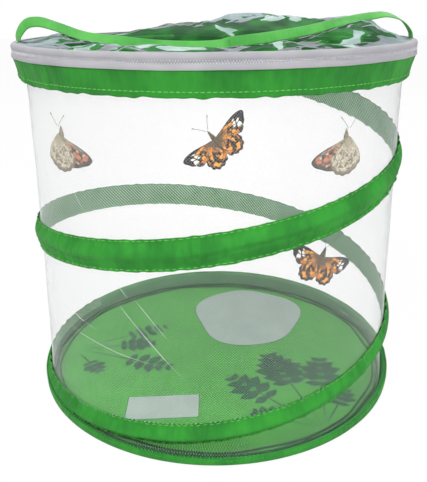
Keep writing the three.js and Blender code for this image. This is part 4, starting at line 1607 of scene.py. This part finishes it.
@dataclass
class Film:
    """The crumpled clear lid: rises of a height, a middle and two widths, and folds."""

    edge: float = 150.5 * MM
    reach: float = 150.6 * MM
    hem: float = 280.25 * MM
    fade_in: float = 118.0 * MM
    fade_out: float = 146.0 * MM
    deepest: float = 9.0 * MM
    held: tuple[float, float] = (136.0 * MM, 147.0 * MM)
    clear_sides: tuple[float, float] = (80.0 * MM, 125.0 * MM)
    clear_rises: tuple[float, float] = (11.0 * MM, 16.0 * MM)
    strap_gap: float = 0.5 * MM
    rises: Rows = (
        (17.0, 0.17, 0.33, 0.5, 0.32),
        (14.0, 0.74, -0.05, 0.2, 0.4),
        (3.5, -0.83, 0.0, 0.17, 0.33),
        (-8.0, -0.1, -0.27, 0.41, 0.23),
    )
    folds: Rows = (
        (3.0, 85.0, 25.0, 0.1), (2.6, 64.0, 80.0, 0.55), (2.2, 52.0, -40.0, 0.3), (1.6, 37.0, 115.0, 0.8),
        (0.7, 23.0, 50.0, 0.25), (0.45, 15.0, -15.0, 0.5), (0.25, 10.0, 140.0, 0.9),
    )

    def swell(self, x: Array, y: Array) -> Array:
        """Sum of h exp(-((x-cx)/wx)^2 - ((y-cy)/wy)^2), let down to the hem at the edge.

        Args:
            x: Across the lid.
            y: From front to back.

        Returns:
            Rise over the hem.
        """
        total = np.zeros(np.broadcast(x, y).shape)
        for height, cx, cy, wx, wy in self.rises:
            bell = -(((x / self.reach - cx) / wx) ** 2) - ((y / self.reach - cy) / wy) ** 2
            total = total + height * MM * np.exp(bell)
        return total * (1 - smoothstep(np.hypot(x, y), self.fade_in, self.fade_out))

    def crumple(self, x: Array, y: Array) -> tuple[Array, Array]:
        """Triangle waves in several directions, whose lines are bent by slow sines.

        Args:
            x: Across the lid.
            y: From front to back.

        Returns:
            Height of the folds, and closeness to a crease from 0 to 1.
        """
        bent_x = x + 12 * MM * np.sin(31 * y + 1.0) + 6 * MM * np.sin(57 * x + 23 * y)
        bent_y = y + 11 * MM * np.sin(27 * x + 2.0) + 6 * MM * np.sin(49 * y - 31 * x)
        height = np.zeros(x.shape)
        crease = np.zeros(x.shape)
        for size, pitch, aim, phase in self.folds:
            turn = math.radians(aim)
            wave = (bent_x * math.cos(turn) + bent_y * math.sin(turn)) / (pitch * MM) + phase
            slant = np.abs(2 * (wave - np.floor(wave)) - 1)
            height += size * MM * (slant - 0.5)
            crease = np.maximum(crease, np.clip(1 - slant / (3.2 / pitch), 0, 1) * min(1.0, size / 1.6))
        return height, crease

    def build(self, strap: Strap) -> None:
        """A disc of film; its swell and folds stay under the strap.

        Args:
            strap: The ribbon that lies on it.
        """
        x, y, lay = disc(self.edge, 251)
        loose = 1 - smoothstep(np.hypot(x, y), *self.held)
        swell = self.swell(x, y)
        folds, crease = self.crumple(x, y)
        z = self.hem + swell + folds * loose
        line, tilt = strap.middle_line(self)
        knots = line[::4]
        dip = strap.width / 2 * np.sin(np.abs(tilt[::4]))
        under = knots[:, 2] - strap.cloth - dip - self.strap_gap
        away = np.hypot(x[..., None] - knots[:, 0], y[..., None] - knots[:, 1])
        ceiling = (under + np.maximum(away - strap.width * 0.6, 0) * 0.9).min(-1)
        z = np.where(loose > 0, np.minimum(z, np.maximum(ceiling, self.hem - self.deepest)), z)
        slope = np.gradient(z, axis=1) / np.gradient(y, axis=1)
        clear = smoothstep(np.abs(x), *self.clear_sides) * 0.8
        # lean and clear place the film finish's painted green reflection and painted highlights.
        values = {
            "crease": crease * loose,
            "lean": 0.5 + loose * np.clip(slope * 1.6, -0.5, 0.5),
            "clear": np.maximum(clear, smoothstep(swell, *self.clear_rises)),
        }
        obj = Surface(np.stack([x, y, z], -1), lay, lay, False, False, values).build("film")
        settle(obj, FILM, "lid", ["lid_film"])


class WingPose(Enum):
    """How a butterfly holds its wings."""

    OPEN = "open"
    CLOSED = "closed"


@dataclass(frozen=True)
class WingShape:
    """One wing: rays from its root, whose reach swells to a lobe and is scalloped at the margin."""

    root: tuple[float, float]
    start: float
    end: float
    reach: float
    lobe_at: float
    lobe: float
    lobe_width: float
    scallop: float
    scallops: int
    blunt: float = 0.7

    def grid(self, rows: int = 13, columns: int = 41) -> tuple[Array, Array, Array]:
        """Points root + s R(t) (cos a, sin a), where a runs from start to end and R is rounded at both.

        Args:
            rows: Points from the root outwards.
            columns: Points from the trailing to the leading edge.

        Returns:
            Points in the wing's plane, s and t.
        """
        s = np.linspace(0.04, 1, rows)
        t = np.linspace(0, 1, columns)
        turn = np.radians(self.start + (self.end - self.start) * t)
        swell = 1 - self.lobe + self.lobe * np.exp(-(((t - self.lobe_at) / self.lobe_width) ** 2))
        leading, trailing = np.clip((t - 0.8) / 0.2, 0, 1), np.clip((0.14 - t) / 0.14, 0, 1)
        rounded = np.sqrt(1 - self.blunt * leading ** 2 - 0.7 * trailing ** 2)
        reach = self.reach * swell * rounded + self.scallop * np.cos(TAU * self.scallops * t)
        ray = reach[:, None] * np.stack([np.cos(turn), np.sin(turn)], -1)
        return np.array(self.root) + s[:, None, None] * ray, s, t


FOLDED_FORE = WingShape((0.4 * MM, 3.0 * MM), -70.0, -19.0, 29 * MM, 0.86, 0.22, 0.5, 0.2 * MM, 3)
FOLDED_HIND = WingShape((-0.6 * MM, 4.0 * MM), -128.0, -44.0, 26 * MM, 0.6, 0.35, 0.5, 0.4 * MM, 7, 0.1)
FOREWING = WingShape((0.4 * MM, 1.5 * MM), -32.0, 13.0, 25.6 * MM, 0.88, 0.3, 0.55, 0.25 * MM, 4)
HINDWING = WingShape((0.0 * MM, 0.8 * MM), -95.0, -10.0, 19.5 * MM, 0.5, 0.44, 0.42, 0.45 * MM, 7)


@dataclass
class Butterfly:
    """A butterfly flat on the inner face of the netting."""

    name: str
    wall: Wall
    collapse: Collapse
    pose: WingPose
    angle: float
    height: float
    turn: float
    size: float
    breadth: float = 1.0
    gap: float = 1.6 * MM
    wing: float = 0.2 * MM
    near: float = 0.2 * MM
    far: float = 0.6 * MM

    def on_net(self, flat: Array, lift: Array) -> Array:
        """Turns flat points by the insect's turn and bends them on to the netting's inside.

        Args:
            flat: Points in the insect's own plane, head towards +y.
            lift: Distance of each from the netting's face.

        Returns:
            Points in the habitat's frame.
        """
        turn = math.radians(self.turn)
        x = self.breadth * flat[..., 0] * self.size
        y = flat[..., 1] * self.size
        across = x * math.cos(turn) - y * math.sin(turn)
        z = self.height + x * math.sin(turn) + y * math.cos(turn)
        radius = self.wall.radius(z) - self.gap - lift
        return polar(math.radians(self.angle) + across / self.wall.waist_radius, radius, z)

    def add(self, label: str, surface: Surface, finish: Finish, thickness: float = 0.0) -> None:
        """Builds and dresses a piece of the insect and gives it its own mesh."""
        obj = surface.build(f"{self.name}_{label}")
        self.collapse.follow(settle(obj, finish, "base", (), thickness))

    def build_wing(self, label: str, shape: WingShape, finish: Finish, side: float, lift: float) -> None:
        """One wing, slightly cupped away from the netting towards its root.

        Args:
            label: Name of the wing.
            shape: Its outline.
            finish: Its scales.
            side: 1 for the right wing, -1 for the left one.
            lift: Its distance from the netting.
        """
        flat, s, t = shape.grid()
        points = self.on_net(flat * np.array([side, 1.0]), (lift + 0.8 * MM * (1 - s) ** 2)[:, None])
        if side * self.breadth > 0:
            points, s = points[::-1], s[::-1]
        self.add(label, Surface(points, s, t), finish, self.wing)

    def build_body(self) -> None:
        """A tapered body along the insect's length, and two bent antennae with clubbed ends."""
        s = np.linspace(0, 1, 15)
        flat = np.stack([np.zeros(15), (-9.5 + 18 * s) * MM], -1)
        swell = 1.15 * np.sin(np.pi * s ** 0.75) ** 0.8
        radius = (0.35 + swell + 0.45 * np.exp(-(((s - 0.68) / 0.12) ** 2))) * MM
        behind, finish = (1.2 * MM, HAIR) if self.pose is WingPose.OPEN else (2.8 * MM, PALE_HAIR)
        self.add("body", tube(self.on_net(flat, behind), radius * self.size, 10, False), finish)
        q = np.linspace(0, 1, 12)
        radius = (0.13 + 0.3 * np.exp(-(((q - 0.95) / 0.07) ** 2))) * MM
        for label, side in (("antenna_left", -1.0), ("antenna_right", 1.0)):
            flat = np.stack([side * (0.5 + 6.5 * q ** 1.2), 8.0 + 8.5 * q], -1) * MM
            self.add(label, tube(self.on_net(flat, 0.6 * MM), radius, 6, False), HAIR)

    def build(self) -> None:
        """All pieces of the insect."""
        if self.pose is WingPose.OPEN:
            for word, side in (("left", -1.0), ("right", 1.0)):
                self.build_wing(f"{word}_hindwing", HINDWING, UPPER_HIND, side, self.far)
                self.build_wing(f"{word}_forewing", FOREWING, UPPER_FORE, side, self.near)
        else:
            self.build_wing("forewing", FOLDED_FORE, UNDER_FORE, 1.0, self.far)
            self.build_wing("hindwing", FOLDED_HIND, UNDER_HIND, 1.0, self.near)
        self.build_body()


@dataclass
class Hardware:
    """Wire hoops, ferrules, stops, slider and pull, whose solids are kept."""

    finishes: tuple[tuple[Finish, tuple[str, ...]], ...] = (
        (STEEL, ("base_hoop_wire", "top_hoop_wire")),
        (CRIMP, ("base_hoop_ferrule", "top_hoop_ferrule")),
        (NICKEL, ("zip_stop_lower_left", "zip_stop_lower_right")),
        (NICKEL, ("zip_stop_upper_left", "zip_stop_upper_right")),
        (NICKEL, ("zip_slider", "zip_pull")),
    )

    def dress(self, nodes: Mapping[str, bpy.types.Object]) -> None:
        """Gives each kept solid its finish.

        Args:
            nodes: The frame's nodes by name.
        """
        for finish, names in self.finishes:
            for name in names:
                for slot in nodes[name].material_slots:
                    slot.material = finish.material()
                LOG.info("%s: %s", name, finish.name)


# Studio


def seen(root: Socket) -> Socket:
    """1 for camera, mirror and clear-sight rays, else 0."""
    path = root.node("ShaderNodeLightPath", {}, "Is Camera Ray")
    return path.over(path.other("Is Glossy Ray")).over(path.other("Is Transmission Ray"))


@dataclass(frozen=True)
class Paper(Finish):
    """The studio's floor: white where it is seen, apart from a little shadow."""

    dark: Colour
    light: Colour
    glow: float

    def shader(self, root: Socket) -> Socket:
        """A matte sheet, mixed with white light for the rays that see it.

        Args:
            root: The material's tree.

        Returns:
            The shader.
        """
        matte = root.node("ShaderNodeBsdfDiffuse", {"Color": root.cloud(6.0).mix(self.dark, self.light)})
        glow = root.node("ShaderNodeEmission", {"Color": WHITE, "Strength": 1.0})
        return root.node("ShaderNodeMixShader", {0: seen(root) * self.glow, 1: matte, 2: glow})


@dataclass
class Studio:
    """Pale floor, soft lamps and the photograph's camera."""

    camera_place: tuple[float, float, float] = (-1.8 * MM, -507 * MM, 307 * MM)
    pitch: float = 21.03
    roll: float = -0.5
    focal: float = 622.0
    image_height: float = 482.0
    sensor: float = 36.0
    target: tuple[float, float, float] = (0.0, 0.0, 0.14)
    floor_radius: float = 6.0
    floor_level: float = -0.4 * MM
    world: float = 0.3
    paper: Finish = Paper("studio_floor", screen(246, 246, 246), screen(250, 250, 250), 0.96)

    def build_camera(self) -> None:
        """The camera looks along +Y, pitched down and rolled about its own axis."""
        data = bpy.data.cameras.new("camera")
        data.sensor_fit = "VERTICAL"
        data.sensor_height = self.sensor
        data.lens = self.focal * self.sensor / self.image_height
        data.clip_start = 0.01
        obj = bpy.data.objects.new("camera", data)
        tilt = Euler((math.radians(90 - self.pitch), 0, 0)).to_matrix().to_4x4()
        turn = Matrix.Rotation(math.radians(self.roll), 4, "Z")
        obj.matrix_world = Matrix.Translation(Vector(self.camera_place)) @ tilt @ turn
        bpy.context.scene.collection.objects.link(obj)
        bpy.context.scene.camera = obj

    def lamp(self, name: str, place: tuple[float, float, float], size: float, energy: float) -> None:
        """A square soft lamp that points at the habitat's middle.

        Args:
            name: Name of the lamp.
            place: Its place.
            size: Its side.
            energy: In watts.
        """
        data = bpy.data.lights.new(name, "AREA")
        data.size = size
        data.energy = energy
        obj = bpy.data.objects.new(name, data)
        aim = (Vector(self.target) - Vector(place)).to_track_quat("-Z", "Y")
        obj.matrix_world = Matrix.Translation(Vector(place)) @ aim.to_matrix().to_4x4()
        bpy.context.scene.collection.objects.link(obj)

    def build_world(self) -> None:
        """White where it is seen, and a plain level of light elsewhere."""
        world = bpy.data.worlds.new("studio")
        world.use_nodes = True
        world.node_tree.nodes.clear()
        root = Socket(world.node_tree)
        strength = seen(root) * (1.0 - self.world) + self.world
        light = root.node("ShaderNodeBackground", {"Color": WHITE, "Strength": strength})
        root.node("ShaderNodeOutputWorld", {"Surface": light}, None)
        bpy.context.scene.world = world

    def build_floor(self) -> None:
        """A pale disc under the habitat that keeps part of its shadow."""
        turn = np.arange(65) * TAU / 64
        reach = np.array([0.001, 0.2, 0.5, 1.0, 2.5, self.floor_radius])
        points = polar(turn[:-1, None], reach, self.floor_level)[::-1]
        obj = Surface(points, turn, reach, True).build("studio_floor")
        obj.data.materials.append(self.paper.material())

    def build(self) -> None:
        """Camera, lamps, world and floor."""
        bpy.context.scene.view_settings.view_transform = "Standard"
        self.build_camera()
        self.lamp("key", (-0.4, -0.95, 1.5), 1.0, 26.0)
        self.lamp("fill", (1.1, -0.9, 0.6), 1.2, 8.0)
        self.lamp("back", (0.2, 1.2, 1.3), 1.4, 12.0)
        self.build_world()
        self.build_floor()


def main() -> None:
    """Builds the studio, then the habitat's pieces in order."""
    logging.basicConfig(level=logging.INFO, format="%(name)s: %(message)s")
    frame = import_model()
    Studio().build()
    wall = Wall()
    collapse = Collapse()
    base = Base()
    base.build()
    FloorPrint(base).build()
    coil = Coil()
    tuck = Tuck(coil)
    NetWall(wall, tuck, collapse).build()
    Spiral(wall, coil, tuck, collapse).build()
    Rim().build()
    Zip().build()
    film = Film()
    strap = Strap()
    film.build(strap)
    strap.build(film)
    insects = (
        ("butterfly_left", WingPose.CLOSED, -47.4, 223.0, 0.0, 1.0, 1.35),
        ("butterfly_middle", WingPose.OPEN, 0.0, 230.0, 41.0, 0.92, 1.0),
        ("butterfly_right", WingPose.CLOSED, 37.0, 223.0, 0.0, 1.0, -1.2),
        ("butterfly_low", WingPose.OPEN, 29.6, 146.0, -24.0, 1.06, 1.0),
    )
    for name, pose, angle, height, turn, size, breadth in insects:
        Butterfly(name, wall, collapse, pose, angle, height * MM, turn, size, breadth).build()
    Hardware().dress(frame["nodes"])


if __name__ == "__main__":
    main()
